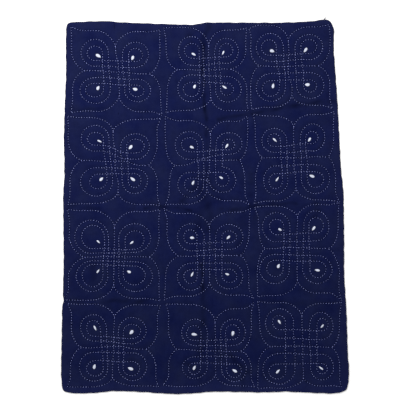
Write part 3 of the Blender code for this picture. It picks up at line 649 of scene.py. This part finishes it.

# What is added to the navy: paler worn patches; a painted highlight along the edge and at the foot, where the
# rounded hem catches the light; and painted light, lighter towards the head. Then the size of the patches and
# how far in each reaches. The last two run between two places along y.
WORN_TINT = (0.0023, 0.0027, 0.0004, 1.0)
EDGE_HIGHLIGHT_TINT = (0.0020, 0.0019, 0.0030, 1.0)
HEAD_PAINTED_LIGHT_TINT = (0.0003, 0.0003, 0.0023, 1.0)
FOOT_HIGHLIGHT_TINT = (0.0010, 0.0014, 0.0070, 1.0)
WORN_SIZE = 0.065
WORN_CONTRAST, WORN_START = 3.0, -1.05
EDGE_HIGHLIGHT_REACH = 0.020
HEAD_LIGHT_REACH = (-0.28, 0.05)
FOOT_HIGHLIGHT_REACH = (-0.560, -0.600)

WEAVE_PITCH = 0.00060
WEAVE_HEIGHT = 0.00006
FIBRE_SIZE = 0.0007
FIBRE_HEIGHT = 0.0002
SLUB_SIZE = 0.0016
SLUB_STRETCH = 26.0
# Soft blotches and a smaller mottle: partly random tone, partly painted shade of the puckered cloth.
BLOTCH_SIZE = 0.045
PUCKER_MOTTLE_SIZE = 0.011
SLUB_SHARE, BLOTCH_SHARE, PUCKER_MOTTLE_SHARE, FIBRE_SHARE = 0.5, 1.1, 0.9, 0.4
# Painted shadows of the puckers: dark spots of noise near the stitching.
PUCKER_SHADOW_SIZE = 0.0048
PUCKER_SHADOW_START, PUCKER_SHADOW_SHARE = 0.55, 2.6
LUMP_SIZE = 0.016
BROAD_LUMP = 0.0013
# Painted shade in the creases, uneven along them.
CREASE_PAINTED_SHADE = 0.40
CREASE_EVEN, CREASE_BROKEN = 0.55, 0.8
# Painted shade along the rim: how far in it reaches and how dark it is.
RIM_SHADE_REACH = 0.010
RIM_PAINTED_SHADE = 0.12
GROOVE_WIDTH = 0.0016
GROOVE_DEPTH = 0.0005
GROOVE_PAINTED_SHADE = 0.48
PUCKER_FADE = (0.0020, 0.0075)
PUCKER_HEIGHT = 0.00035


def dying_away(tree, distance, reach):
    """exp(-distance / reach): 1 where the distance is nothing, fading over the reach."""
    return calculated(tree, "EXPONENT", calculated(tree, "DIVIDE", distance, -reach))


def worn_and_painted_light(tree, cloth, place, y, from_edge):
    """The cloth's colour plus the tints: worn patches of noise, a painted highlight by exp(-distance) at the
    edge, and along y painted light towards the head and a painted highlight at the foot.
    """
    worn = noise(tree, place, WORN_SIZE, detail=3.0)
    worn = calculated(tree, "MULTIPLY_ADD", worn, WORN_CONTRAST, WORN_START)
    # Worn patches, then a painted highlight along the edge.
    tints = [(worn, WORN_TINT), (dying_away(tree, from_edge, EDGE_HIGHLIGHT_REACH), EDGE_HIGHLIGHT_TINT)]
    # Painted light towards the head, and a painted highlight of the rounded hem at the foot.
    for (first, last), tint in ((HEAD_LIGHT_REACH, HEAD_PAINTED_LIGHT_TINT), (FOOT_HIGHLIGHT_REACH, FOOT_HIGHLIGHT_TINT)):
        inputs = {"Value": y, "From Min": first, "From Max": last}
        by_end = add_node(tree, "MapRange", inputs, interpolation_type="SMOOTHSTEP").outputs[0]
        tints.append((by_end, tint))
    for share, tint in tints:
        inputs = {0: share, 6: cloth, 7: tint}
        cloth = add_node(tree, "Mix", inputs, data_type="RGBA", blend_type="ADD").outputs[2]
    return cloth


def quilted_cotton():
    """Navy plain weave: uneven slubs both ways, soft blotches that are partly painted shade of the puckered
    cloth, worn patches, painted light and painted highlights, painted shade along the rim and in the creases,
    and puckered stitching.

    Beside the stitching it reads the distance to it and the stitches along it: a groove, which is exp(-(side
    / width)^2), sunk in the bump and darkened as painted shade, with painted pucker shadows and ripples cos(2
    pi stitches) that die away from the line."""
    material, tree, shader = new_material(
        "quilted cotton", roughness=0.92, specular=0.01, sheen=0.02, sheen_roughness=0.5
    )
    place = add_node(tree, "TexCoord").outputs["Object"]
    fibres = add_node(tree, "Group", {"Fibre Size": FIBRE_SIZE}, node_tree=fibre_group)
    side = add_node(tree, "Attribute", attribute_name="stitch_side").outputs["Fac"]
    stitches = add_node(tree, "Attribute", attribute_name="stitch_count").outputs["Fac"]
    crease = add_node(tree, "Attribute", attribute_name="crease").outputs["Fac"]
    from_edge = add_node(tree, "Attribute", attribute_name="from_edge").outputs["Fac"]

    across = calculated(tree, "POWER", calculated(tree, "DIVIDE", side, GROOVE_WIDTH), 2.0)
    groove = calculated(tree, "EXPONENT", calculated(tree, "MULTIPLY", across, -1.0))
    slubs = noise(tree, place, SLUB_SIZE, (SLUB_STRETCH, 1.0, 1.0))
    slubs = calculated(tree, "ADD", slubs, noise(tree, place, SLUB_SIZE, (1.0, SLUB_STRETCH, 1.0)))
    # Soft blotches and a smaller mottle, partly random tone and partly painted shade of the puckered cloth.
    blotches = noise(tree, place, BLOTCH_SIZE, detail=4.0, roughness=0.6)
    pucker_mottle = noise(tree, place, PUCKER_MOTTLE_SIZE, detail=3.0, roughness=0.6)
    middling = 0.5 - SLUB_SHARE - (BLOTCH_SHARE + PUCKER_MOTTLE_SHARE + FIBRE_SHARE) / 2
    light = calculated(tree, "MULTIPLY_ADD", slubs, SLUB_SHARE, middling)
    light = calculated(tree, "MULTIPLY_ADD", blotches, BLOTCH_SHARE, light)
    light = calculated(tree, "MULTIPLY_ADD", pucker_mottle, PUCKER_MOTTLE_SHARE, light)
    light = calculated(tree, "MULTIPLY_ADD", fibres.outputs["Tone"], FIBRE_SHARE, light)
    # Painted shade along the rim, darker within about a centimetre of the edge.
    light = calculated(tree, "MULTIPLY_ADD", dying_away(tree, from_edge, RIM_SHADE_REACH), -RIM_PAINTED_SHADE, light)
    x, y, _ = add_node(tree, "SeparateXYZ", {"Vector": place}).outputs
    cloth = worn_and_painted_light(tree, mixed(tree, light, NAVY, PALE_NAVY), place, y, from_edge)

    # Painted shade in the creases: darker by the crease's depth, unevenly.
    broken = calculated(tree, "MULTIPLY_ADD", pucker_mottle, CREASE_BROKEN, CREASE_EVEN)
    dark = calculated(tree, "MULTIPLY", calculated(tree, "MULTIPLY", crease, broken), CREASE_PAINTED_SHADE)
    # Painted shade in the groove beside the stitching, where the bump also sinks it.
    dark = calculated(tree, "MULTIPLY_ADD", groove, GROOVE_PAINTED_SHADE, dark)
    fading = {"From Min": PUCKER_FADE[0], "From Max": PUCKER_FADE[1], "To Min": 1.0, "To Max": 0.0}
    fading["Value"] = calculated(tree, "ABSOLUTE", side)
    near = add_node(tree, "MapRange", fading, interpolation_type="SMOOTHSTEP").outputs[0]
    # Painted shadows of the puckers, in spots that die away from the stitching.
    pucker_shadows = calculated(tree, "SUBTRACT", noise(tree, place, PUCKER_SHADOW_SIZE, detail=1.0), PUCKER_SHADOW_START)
    pucker_shadows = calculated(tree, "MULTIPLY", calculated(tree, "MAXIMUM", pucker_shadows), near)
    dark = calculated(tree, "MULTIPLY_ADD", pucker_shadows, PUCKER_SHADOW_SHARE, dark)
    # The painted shade takes the cloth towards a darker navy.
    tree.links.new(mixed(tree, dark, cloth, PAINTED_SHADE_NAVY), shader.inputs["Base Color"])

    warp = calculated(tree, "SINE", calculated(tree, "MULTIPLY", x, np.pi / WEAVE_PITCH))
    weft = calculated(tree, "SINE", calculated(tree, "MULTIPLY", y, np.pi / WEAVE_PITCH))
    weave = calculated(tree, "ABSOLUTE", calculated(tree, "MULTIPLY", warp, weft))
    beat = calculated(tree, "COSINE", calculated(tree, "MULTIPLY", stitches, 2 * np.pi))
    height = calculated(tree, "MULTIPLY", calculated(tree, "MULTIPLY", beat, near), -PUCKER_HEIGHT)
    height = calculated(tree, "MULTIPLY_ADD", groove, -GROOVE_DEPTH, height)
    lumps = noise(tree, place, LUMP_SIZE, detail=3.0)
    height = calculated(tree, "MULTIPLY_ADD", lumps, BROAD_LUMP, height)
    height = calculated(tree, "MULTIPLY_ADD", weave, WEAVE_HEIGHT, height)
    height = calculated(tree, "MULTIPLY_ADD", fibres.outputs["Height"], FIBRE_HEIGHT, height)
    bump = add_node(tree, "Bump", {"Height": height, "Strength": 1.0, "Distance": 1.0})
    tree.links.new(bump.outputs["Normal"], shader.inputs["Normal"])
    return material


points, faces, at_points, at_corners = quilt_cloth()
cloth = new_piece("quilt_cloth", points, faces, quilted_cotton())
store(cloth, "POINT", at_points)
store(cloth, "CORNER", at_corners)
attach(cloth, "root")
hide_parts("quilt")

# The running stitch. Pale cotton thread about a millimetre thick, worked by hand through all the layers: each
# stitch lies on the face for about half of its pitch and dives in at both ends. On the underside the same
# thread shows in the gaps between them.

THREAD_WIDTH = 0.0011
THREAD_HEIGHT = 0.0008
TOP_SHARE = 0.40
TOP_START = 0.25

# The hand's error: of a stitch's centre, as a share of the pitch, of its length and girth, which stay within
# limits, and of how deep and how far aside it lies.
CENTRE_ERROR = 0.028
LENGTH_ERROR, LENGTH_LIMITS = 0.12, (0.5, 1.6)
GIRTH_ERROR, GIRTH_LIMITS = 0.09, (0.6, 1.4)
DEPTH_ERROR = 0.00010
SIDE_ERROR = 0.00025

# A stitch from end to end: where each ring is as a share of the half length, its girth and its lift.
Station = namedtuple("Station", "along girth lift")
TOP_STITCH = (
    Station(-0.90, 0.70, -0.0002), Station(-0.50, 0.97, 0.0003), Station(0.0, 1.00, 0.00045),
    Station(0.50, 0.97, 0.0003), Station(0.90, 0.70, -0.0002),
)  # fmt: skip
TOP_TIP = Station(1.10, 0.0, -0.0009)
TOP_SIDES = 6
HEADING_STEP = 0.0004
LEAST_LENGTH = 1e-12


def along_line(line, closed, run):
    """Points and headings at these distances along a line; a closed line goes round again."""
    points = np.vstack([line, line[:1]]) if closed else line
    travelled = np.concatenate([[0.0], np.cumsum(np.linalg.norm(np.diff(points, axis=0), axis=1))])

    def at(distance):
        distance = distance % travelled[-1] if closed else distance.clip(0.0, travelled[-1])
        return np.stack([np.interp(distance, travelled, points[:, axis]) for axis in (0, 1)], axis=-1)

    heading = at(run + HEADING_STEP) - at(run - HEADING_STEP)
    heading /= np.linalg.norm(heading, axis=-1)[..., None] + LEAST_LENGTH
    return at(run), heading


def laid_stitches(lines, stations, tip, sides, share, start, surface, seed):
    """Tubes for all the stitches on some lines: rings of points carried along each, and tips at its ends.

    Stitch number k of a line is centred at (k + start) pitches, give or take the hand's error."""
    random = np.random.default_rng(seed)
    rings, tips, tones = [], [], []
    angle = np.linspace(0.0, 2 * np.pi, sides, endpoint=False)
    for line, closed in lines:
        closing = np.vstack([line, line[:1]]) if closed else line
        length = np.linalg.norm(np.diff(closing, axis=0), axis=1).sum()
        count = round(length / STITCH_PITCH)
        pitch = length / count
        centre = (np.arange(count) + start + random.normal(0.0, CENTRE_ERROR, count)) * pitch
        half = 0.5 * share * pitch * random.normal(1.0, LENGTH_ERROR, count).clip(*LENGTH_LIMITS)
        girth = random.normal(1.0, GIRTH_ERROR, count).clip(*GIRTH_LIMITS)
        sunk = random.normal(0.0, DEPTH_ERROR, count)
        aside = random.normal(0.0, SIDE_ERROR, count)
        for group, carried in ((stations, rings), ((tip._replace(along=-tip.along), tip), tips)):
            run = centre[:, None] + half[:, None] * np.array([station.along for station in group])
            place, heading = along_line(line, closed, run)
            square = np.stack([-heading[..., 1], heading[..., 0]], axis=-1)
            place = place + aside[:, None, None] * square
            shape = place.shape[:2]
            height = surface(place.reshape(-1, 2)).reshape(shape)
            height += [station.lift for station in group] - sunk[:, None]
            radius = girth[:, None] * np.array([station.girth for station in group])
            wide = 0.5 * THREAD_WIDTH * radius[..., None] * np.cos(angle)
            tall = 0.5 * THREAD_HEIGHT * radius[..., None] * np.sin(angle)
            flat = place[..., None, :] + wide[..., None] * square[..., None, :] - MIDDLE
            above = np.maximum(height[..., None] + tall, 0.0)
            carried.append(np.concatenate([flat, above[..., None]], axis=-1))
        tones.append(random.uniform(0.0, 1.0, count))
    tips = np.concatenate(tips)[:, :, 0]
    return np.concatenate(rings), tips, np.concatenate(tones)


def closed_tubes(rings, tips):
    """Points and faces of many tubes: quads between a tube's rings, and a fan from each tip to its ring."""
    tubes, stations, sides = rings.shape[:3]
    each = stations * sides + 2
    points = np.concatenate([rings.reshape(tubes, -1, 3), tips], axis=1).reshape(-1, 3)
    around = np.arange(sides)
    after = (around + 1) % sides
    quads = np.concatenate(
        [
            np.column_stack([around, after, after + sides, around + sides]) + station * sides
            for station in range(stations - 1)
        ]
    )
    last = (stations - 1) * sides
    first_fan = np.column_stack([np.full(sides, each - 2), after, around])
    last_fan = np.column_stack([np.full(sides, each - 1), around + last, after + last])
    starts = np.arange(tubes)[:, None, None] * each
    faces = (quads[None] + starts).reshape(-1, 4).tolist()
    for fan in (first_fan, last_fan):
        faces += (fan[None] + starts).reshape(-1, 3).tolist()
    return points, faces


def on_the_face(places):
    """The height of the cloth under the stitching."""
    return face_height(places, np.zeros(len(places)))


THREAD_WHITE = (0.37, 0.425, 0.85, 1.0)
THREAD_GREY = (0.125, 0.15, 0.44, 1.0)
LINT_SIZE = 0.0004
LINT_SHARE = 0.3
LINT_HEIGHT = 0.0002


def cotton_thread(name, dull, bright):
    """Soft cotton thread, each stitch a little lighter or darker than the next."""
    material, tree, shader = new_material(
        name, roughness=0.75, specular=0.10, sheen=0.06, sheen_roughness=0.4
    )
    fibres = add_node(tree, "Group", {"Fibre Size": LINT_SIZE}, node_tree=fibre_group)
    tone = add_node(tree, "Attribute", attribute_name="tone").outputs["Fac"]
    tone = calculated(tree, "MULTIPLY", tone, 1 - LINT_SHARE)
    share = calculated(tree, "MULTIPLY_ADD", fibres.outputs["Tone"], LINT_SHARE, tone)
    tree.links.new(mixed(tree, share, dull, bright), shader.inputs["Base Color"])
    lint = {"Height": fibres.outputs["Height"], "Strength": 1.0, "Distance": LINT_HEIGHT}
    bump = add_node(tree, "Bump", lint)
    tree.links.new(bump.outputs["Normal"], shader.inputs["Normal"])
    return material


thread = cotton_thread("pale thread", THREAD_GREY, THREAD_WHITE)


def stitch_piece(name, lines, stations, tip, sides, share, start, surface, seed):
    """All the stitches on some lines as one piece, with a tone of its own kept for each stitch."""
    rings, tips, tones = laid_stitches(lines, stations, tip, sides, share, start, surface, seed)
    points, faces = closed_tubes(rings, tips)
    piece = new_piece(name, points, faces, thread)
    store(piece, "POINT", {"tone": np.repeat(tones, len(points) // len(tones))})
    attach(piece, "root")
    return piece


stitching = [
    stitch_piece(
        name, lines, TOP_STITCH, TOP_TIP, TOP_SIDES, TOP_SHARE, TOP_START, on_the_face, seed
    )  # fmt: skip
    for name, lines, seed in (
        ("petal_stitches", petal_stitching, 11),
        ("outer_loop_stitches", outer_loop_stitching, 12),
        ("inner_loop_stitches", inner_loop_stitching, 13),
    )
]

# The same thread on the underside, pressed flat between the cloth and what the quilt lies on.
UNDER_STITCH = (Station(-0.70, 0.9, 0.0), Station(0.0, 1.0, 0.0), Station(0.70, 0.9, 0.0))
UNDER_TIP = Station(1.05, 0.0, 0.0006)
UNDER_SIDES = 4
UNDER_HEIGHT = 0.0005
UNDER_START = 0.75
UNDER_SEED = 14


def under_the_cloth(places):
    """The height of a thread that the cloth lies on."""
    return np.full(len(places), UNDER_HEIGHT)


stitching.append(
    stitch_piece(
        "underside_stitches",
        petal_stitching + outer_loop_stitching + inner_loop_stitching,
        UNDER_STITCH, UNDER_TIP, UNDER_SIDES, 1 - TOP_SHARE, UNDER_START, under_the_cloth, UNDER_SEED,
    )  # fmt: skip
)

# The edge. Its turned-in layers are closed by hand with navy thread, in slip stitches along the seam that the
# cloth's rim dips into. The thread's end is left long at the head's right corner, and lies on the floor.

SEAM_INSET = 0.0008
SEAM_HEIGHT = 0.0019
SEAM_SHARE, SEAM_START, SEAM_SEED = 0.45, 0.0, 15
SEAM_DARK = (0.0030, 0.0050, 0.0300, 1.0)
SEAM_PALE = (0.0070, 0.0100, 0.0520, 1.0)

# The two strands of the loose end, and where along y they come down from the seam to the floor.
LOOSE_STRANDS = (
    ((0.3940, 0.6150), (0.3955, 0.6190), (0.3978, 0.6222), (0.4015, 0.6248)),
    ((0.3950, 0.6150), (0.3968, 0.6187), (0.3994, 0.6214), (0.4037, 0.6238)),
)
LOOSE_SHARE, LOOSE_START, LOOSE_SEED = 0.95, 0.5, 16
LYING_HEIGHT = 0.0006
COMING_DOWN = (0.6187, 0.6214)


def along_the_seam(places):
    """The seam's height, falling to that of a thread on the floor beyond the head's edge."""
    return np.interp(places[:, 1], COMING_DOWN, (SEAM_HEIGHT, LYING_HEIGHT))


edge_work = [
    laid_stitches(lines, TOP_STITCH, TOP_TIP, UNDER_SIDES, share, start, along_the_seam, seed)
    for lines, share, start, seed in (
        ([(edge_loop(SEAM_INSET), True)], SEAM_SHARE, SEAM_START, SEAM_SEED),
        ([(np.array(part), False) for part in LOOSE_STRANDS], LOOSE_SHARE, LOOSE_START, LOOSE_SEED),
    )
]
rings, tips, tones = (np.concatenate(parts) for parts in zip(*edge_work))
points, faces = closed_tubes(rings, tips)
seam = new_piece("edge_stitches", points, faces, cotton_thread("navy thread", SEAM_DARK, SEAM_PALE))
store(seam, "POINT", {"tone": np.repeat(tones, len(points) // len(tones))})
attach(seam, "root")
stitching.append(seam)

# The leaves. Forty-eight small leaves embroidered in the same thread, one inside each inner loop: short satin
# stitches laid side by side across the leaf, so that it stands up as a ribbed mound with a point at one end.

# Each block's four leaves, at the upper left, lower left, lower right and upper right: place from the block's
# crossing, the way the round end points in degrees, length and width.
Leaf = namedtuple("Leaf", "across up towards length width")
LEAVES = (
    (Leaf(-0.067, 0.054, 146, 0.0185, 0.0100), Leaf(-0.068, -0.052, 237, 0.0145, 0.0100),
     Leaf(0.054, -0.056, 339, 0.0160, 0.0100), Leaf(0.046, 0.047, 64, 0.0150, 0.0090)),
    (Leaf(-0.050, 0.051, 147, 0.0155, 0.0070), Leaf(-0.047, -0.055, 242, 0.0135, 0.0085),
     Leaf(0.051, -0.057, 325, 0.0175, 0.0060), Leaf(0.047, 0.056, 65, 0.0140, 0.0055)),
    (Leaf(-0.054, 0.051, 158, 0.0155, 0.0105), Leaf(-0.051, -0.064, 257, 0.0160, 0.0085),
     Leaf(0.062, -0.060, 353, 0.0155, 0.0105), Leaf(0.056, 0.054, 52, 0.0175, 0.0090)),
    (Leaf(-0.052, 0.066, 154, 0.0160, 0.0055), Leaf(-0.046, -0.059, 220, 0.0155, 0.0090),
     Leaf(0.057, -0.059, 320, 0.0190, 0.0090), Leaf(0.050, 0.046, 45, 0.0165, 0.0095)),
    (Leaf(-0.058, 0.043, 151, 0.0140, 0.0080), Leaf(-0.054, -0.074, 243, 0.0150, 0.0075),
     Leaf(0.038, -0.057, 329, 0.0140, 0.0065), Leaf(0.057, 0.047, 56, 0.0165, 0.0065)),
    (Leaf(-0.063, 0.058, 135, 0.0170, 0.0060), Leaf(-0.055, -0.071, 234, 0.0175, 0.0055),
     Leaf(0.059, -0.061, 336, 0.0180, 0.0090), Leaf(0.051, 0.059, 55, 0.0155, 0.0075)),
    (Leaf(-0.052, 0.049, 134, 0.0135, 0.0055), Leaf(-0.053, -0.048, 234, 0.0150, 0.0055),
     Leaf(0.049, -0.050, 330, 0.0130, 0.0085), Leaf(0.058, 0.046, 36, 0.0140, 0.0060)),
    (Leaf(-0.058, 0.058, 170, 0.0140, 0.0085), Leaf(-0.058, -0.062, 242, 0.0170, 0.0060),
     Leaf(0.057, -0.062, 339, 0.0135, 0.0065), Leaf(0.061, 0.059, 44, 0.0155, 0.0075)),
    (Leaf(-0.056, 0.059, 145, 0.0130, 0.0075), Leaf(-0.061, -0.061, 242, 0.0145, 0.0090),
     Leaf(0.067, -0.075, 348, 0.0165, 0.0075), Leaf(0.055, 0.063, 52, 0.0165, 0.0075)),
    (Leaf(-0.061, 0.061, 115, 0.0180, 0.0060), Leaf(-0.063, -0.066, 251, 0.0165, 0.0095),
     Leaf(0.056, -0.073, 335, 0.0185, 0.0100), Leaf(0.059, 0.047, 44, 0.0165, 0.0105)),
    (Leaf(-0.070, 0.055, 169, 0.0185, 0.0090), Leaf(-0.070, -0.055, 241, 0.0160, 0.0080),
     Leaf(0.063, -0.065, 326, 0.0175, 0.0085), Leaf(0.057, 0.058, 72, 0.0165, 0.0095)),
    (Leaf(-0.077, 0.080, 120, 0.0155, 0.0065), Leaf(-0.082, -0.083, 225, 0.0170, 0.0070),
     Leaf(0.060, -0.072, 321, 0.0180, 0.0055), Leaf(0.064, 0.066, 49, 0.0150, 0.0055)),
)  # fmt: skip
LEAF_RISE = 0.0015
LEAF_DEPTH = 0.0010
LEAF_POINT, LEAF_ROUND = 0.85, 0.55
SATIN_STITCHES = 13
SATIN_RIDGE = 0.00016
SATIN_SLANT = 0.18
LEAF_STATIONS = 52
LEAF_SIDES = 16
RIDGE_SEED = 21


def leaf_tubes():
    """All the leaves: rings along each leaf's length and round it.

    At a share t of the length the half width is t^0.85 (1 - t)^0.55, pointed at 0 and rounder at 1, and made
    1 at its widest. The top is half an ellipse, with a ridge |sin| for each satin stitch; the bottom is
    sunk in."""
    random = np.random.default_rng(RIDGE_SEED)
    share = 0.5 - 0.5 * np.cos(np.linspace(0.0, np.pi, LEAF_STATIONS + 2)[1:-1])
    swell = share**LEAF_POINT * (1 - share) ** LEAF_ROUND
    swell /= swell.max()
    angle = np.linspace(0.0, 2 * np.pi, LEAF_SIDES, endpoint=False)
    up = np.sin(angle)
    rings, tips = [], []
    for block, leaves in zip(BLOCKS, LEAVES):
        for leaf in leaves:
            centre = np.add(block.cross, (leaf.across, leaf.up))
            towards = np.radians(leaf.towards)
            along = np.array([np.cos(towards), np.sin(towards)])
            square = np.array([-along[1], along[0]])
            aside = 0.5 * leaf.width * swell[:, None] * np.cos(angle)
            forward = (share[:, None] - 0.5) * leaf.length + SATIN_SLANT * aside
            ridge = SATIN_RIDGE * np.abs(np.sin(np.pi * (SATIN_STITCHES * share + random.uniform())))
            top = (LEAF_RISE * np.sqrt(swell) + ridge)[:, None] * up
            depth = np.where(up > 0, top, LEAF_DEPTH * np.sqrt(swell)[:, None] * up)
            flat = centre + forward[..., None] * along + aside[..., None] * square
            ground = cloth_height(flat.reshape(-1, 2)).reshape(depth.shape)
            rings.append(np.concatenate([flat - MIDDLE, (ground + depth)[..., None]], axis=-1))
            ends = centre + np.array([[-0.5], [0.5]]) * leaf.length * along
            tips.append(np.column_stack([ends - MIDDLE, cloth_height(ends)]))
    return np.array(rings), np.array(tips)


SATIN_WHITE = (0.55, 0.59, 0.70, 1.0)
SATIN_GREY = (0.38, 0.41, 0.50, 1.0)
DULLEST_LEAF = 0.3
LEAF_TONE_SEED = 22

rings, tips = leaf_tubes()
points, faces = closed_tubes(rings, tips)
leaves = new_piece("satin_leaves", points, faces, cotton_thread("satin thread", SATIN_GREY, SATIN_WHITE))
leaf_tones = np.random.default_rng(LEAF_TONE_SEED).uniform(DULLEST_LEAF, 1.0, len(rings))
store(leaves, "POINT", {"tone": np.repeat(leaf_tones, len(points) // len(rings))})
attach(leaves, "root")

# The floor and the light. A plain white floor under a large soft lamp above the head's left corner, with an
# even white surround, and a camera straight above.

FLOOR_SIZE = 24.0
FLOOR_DROP = 0.0002
FLOOR_WHITE = (0.90, 0.90, 0.90, 1.0)
FLOOR_BRIGHT = (0.92, 0.92, 0.92, 1.0)
FLOOR_MOTTLE = 0.6


def white_floor():
    """A plain matt white, very faintly uneven."""
    material, tree, shader = new_material(
        "white floor", roughness=0.8, specular=0.2, sheen=0.0, sheen_roughness=0.5
    )
    place = add_node(tree, "TexCoord").outputs["Object"]
    shade = mixed(tree, noise(tree, place, FLOOR_MOTTLE), FLOOR_WHITE, FLOOR_BRIGHT)
    tree.links.new(shade, shader.inputs["Base Color"])
    return material


floor_points = [
    (x * FLOOR_SIZE / 2, y * FLOOR_SIZE / 2, -FLOOR_DROP) for x, y in ((-1, -1), (1, -1), (1, 1), (-1, 1))
]
floor = new_piece("floor", floor_points, [(0, 1, 2, 3)], white_floor())

KEY_PLACE = (-0.55, 1.0, 1.5)
KEY_SIZE = 1.0
KEY_POWER = 32.0
KEY_COLOUR = (1.0, 0.98, 0.94)
SURROUND = 0.83


def aimed(thing, place, target):
    """Puts a lamp or camera at a place, looking at a target."""
    thing.location = place
    gaze = Vector(target) - Vector(place)
    thing.rotation_euler = gaze.to_track_quat("-Z", "Y").to_euler()
    bpy.context.scene.collection.objects.link(thing)


lamp = bpy.data.lights.new("soft key", "AREA")
lamp.shape = "DISK"
lamp.size = KEY_SIZE
lamp.energy = KEY_POWER
lamp.color = KEY_COLOUR
aimed(bpy.data.objects.new("soft_key", lamp), KEY_PLACE, (0.0, 0.0, 0.0))

world = bpy.data.worlds.new("white surround")
world.use_nodes = True
world.node_tree.nodes["Background"].inputs["Strength"].default_value = SURROUND
world.node_tree.nodes["Background"].inputs["Color"].default_value = (1.0, 1.0, 1.0, 1.0)
bpy.context.scene.world = world

# No denoising, which smears fine stitches into the cloth, and colours shown as they are.
bpy.context.scene.cycles.use_denoising = False
bpy.context.scene.view_settings.view_transform = "Standard"

VIEW_WIDTH = 1.322
VIEW_CENTRE = (-0.0166, 0.0222)
CAMERA_HEIGHT = 6.0

lens = bpy.data.cameras.new("camera")
lens.lens = lens.sensor_width * CAMERA_HEIGHT / VIEW_WIDTH
camera = bpy.data.objects.new("camera", lens)
aimed(camera, (*VIEW_CENTRE, CAMERA_HEIGHT), (*VIEW_CENTRE, 0.0))
camera.rotation_euler = (0.0, 0.0, 0.0)
bpy.context.scene.camera = camera
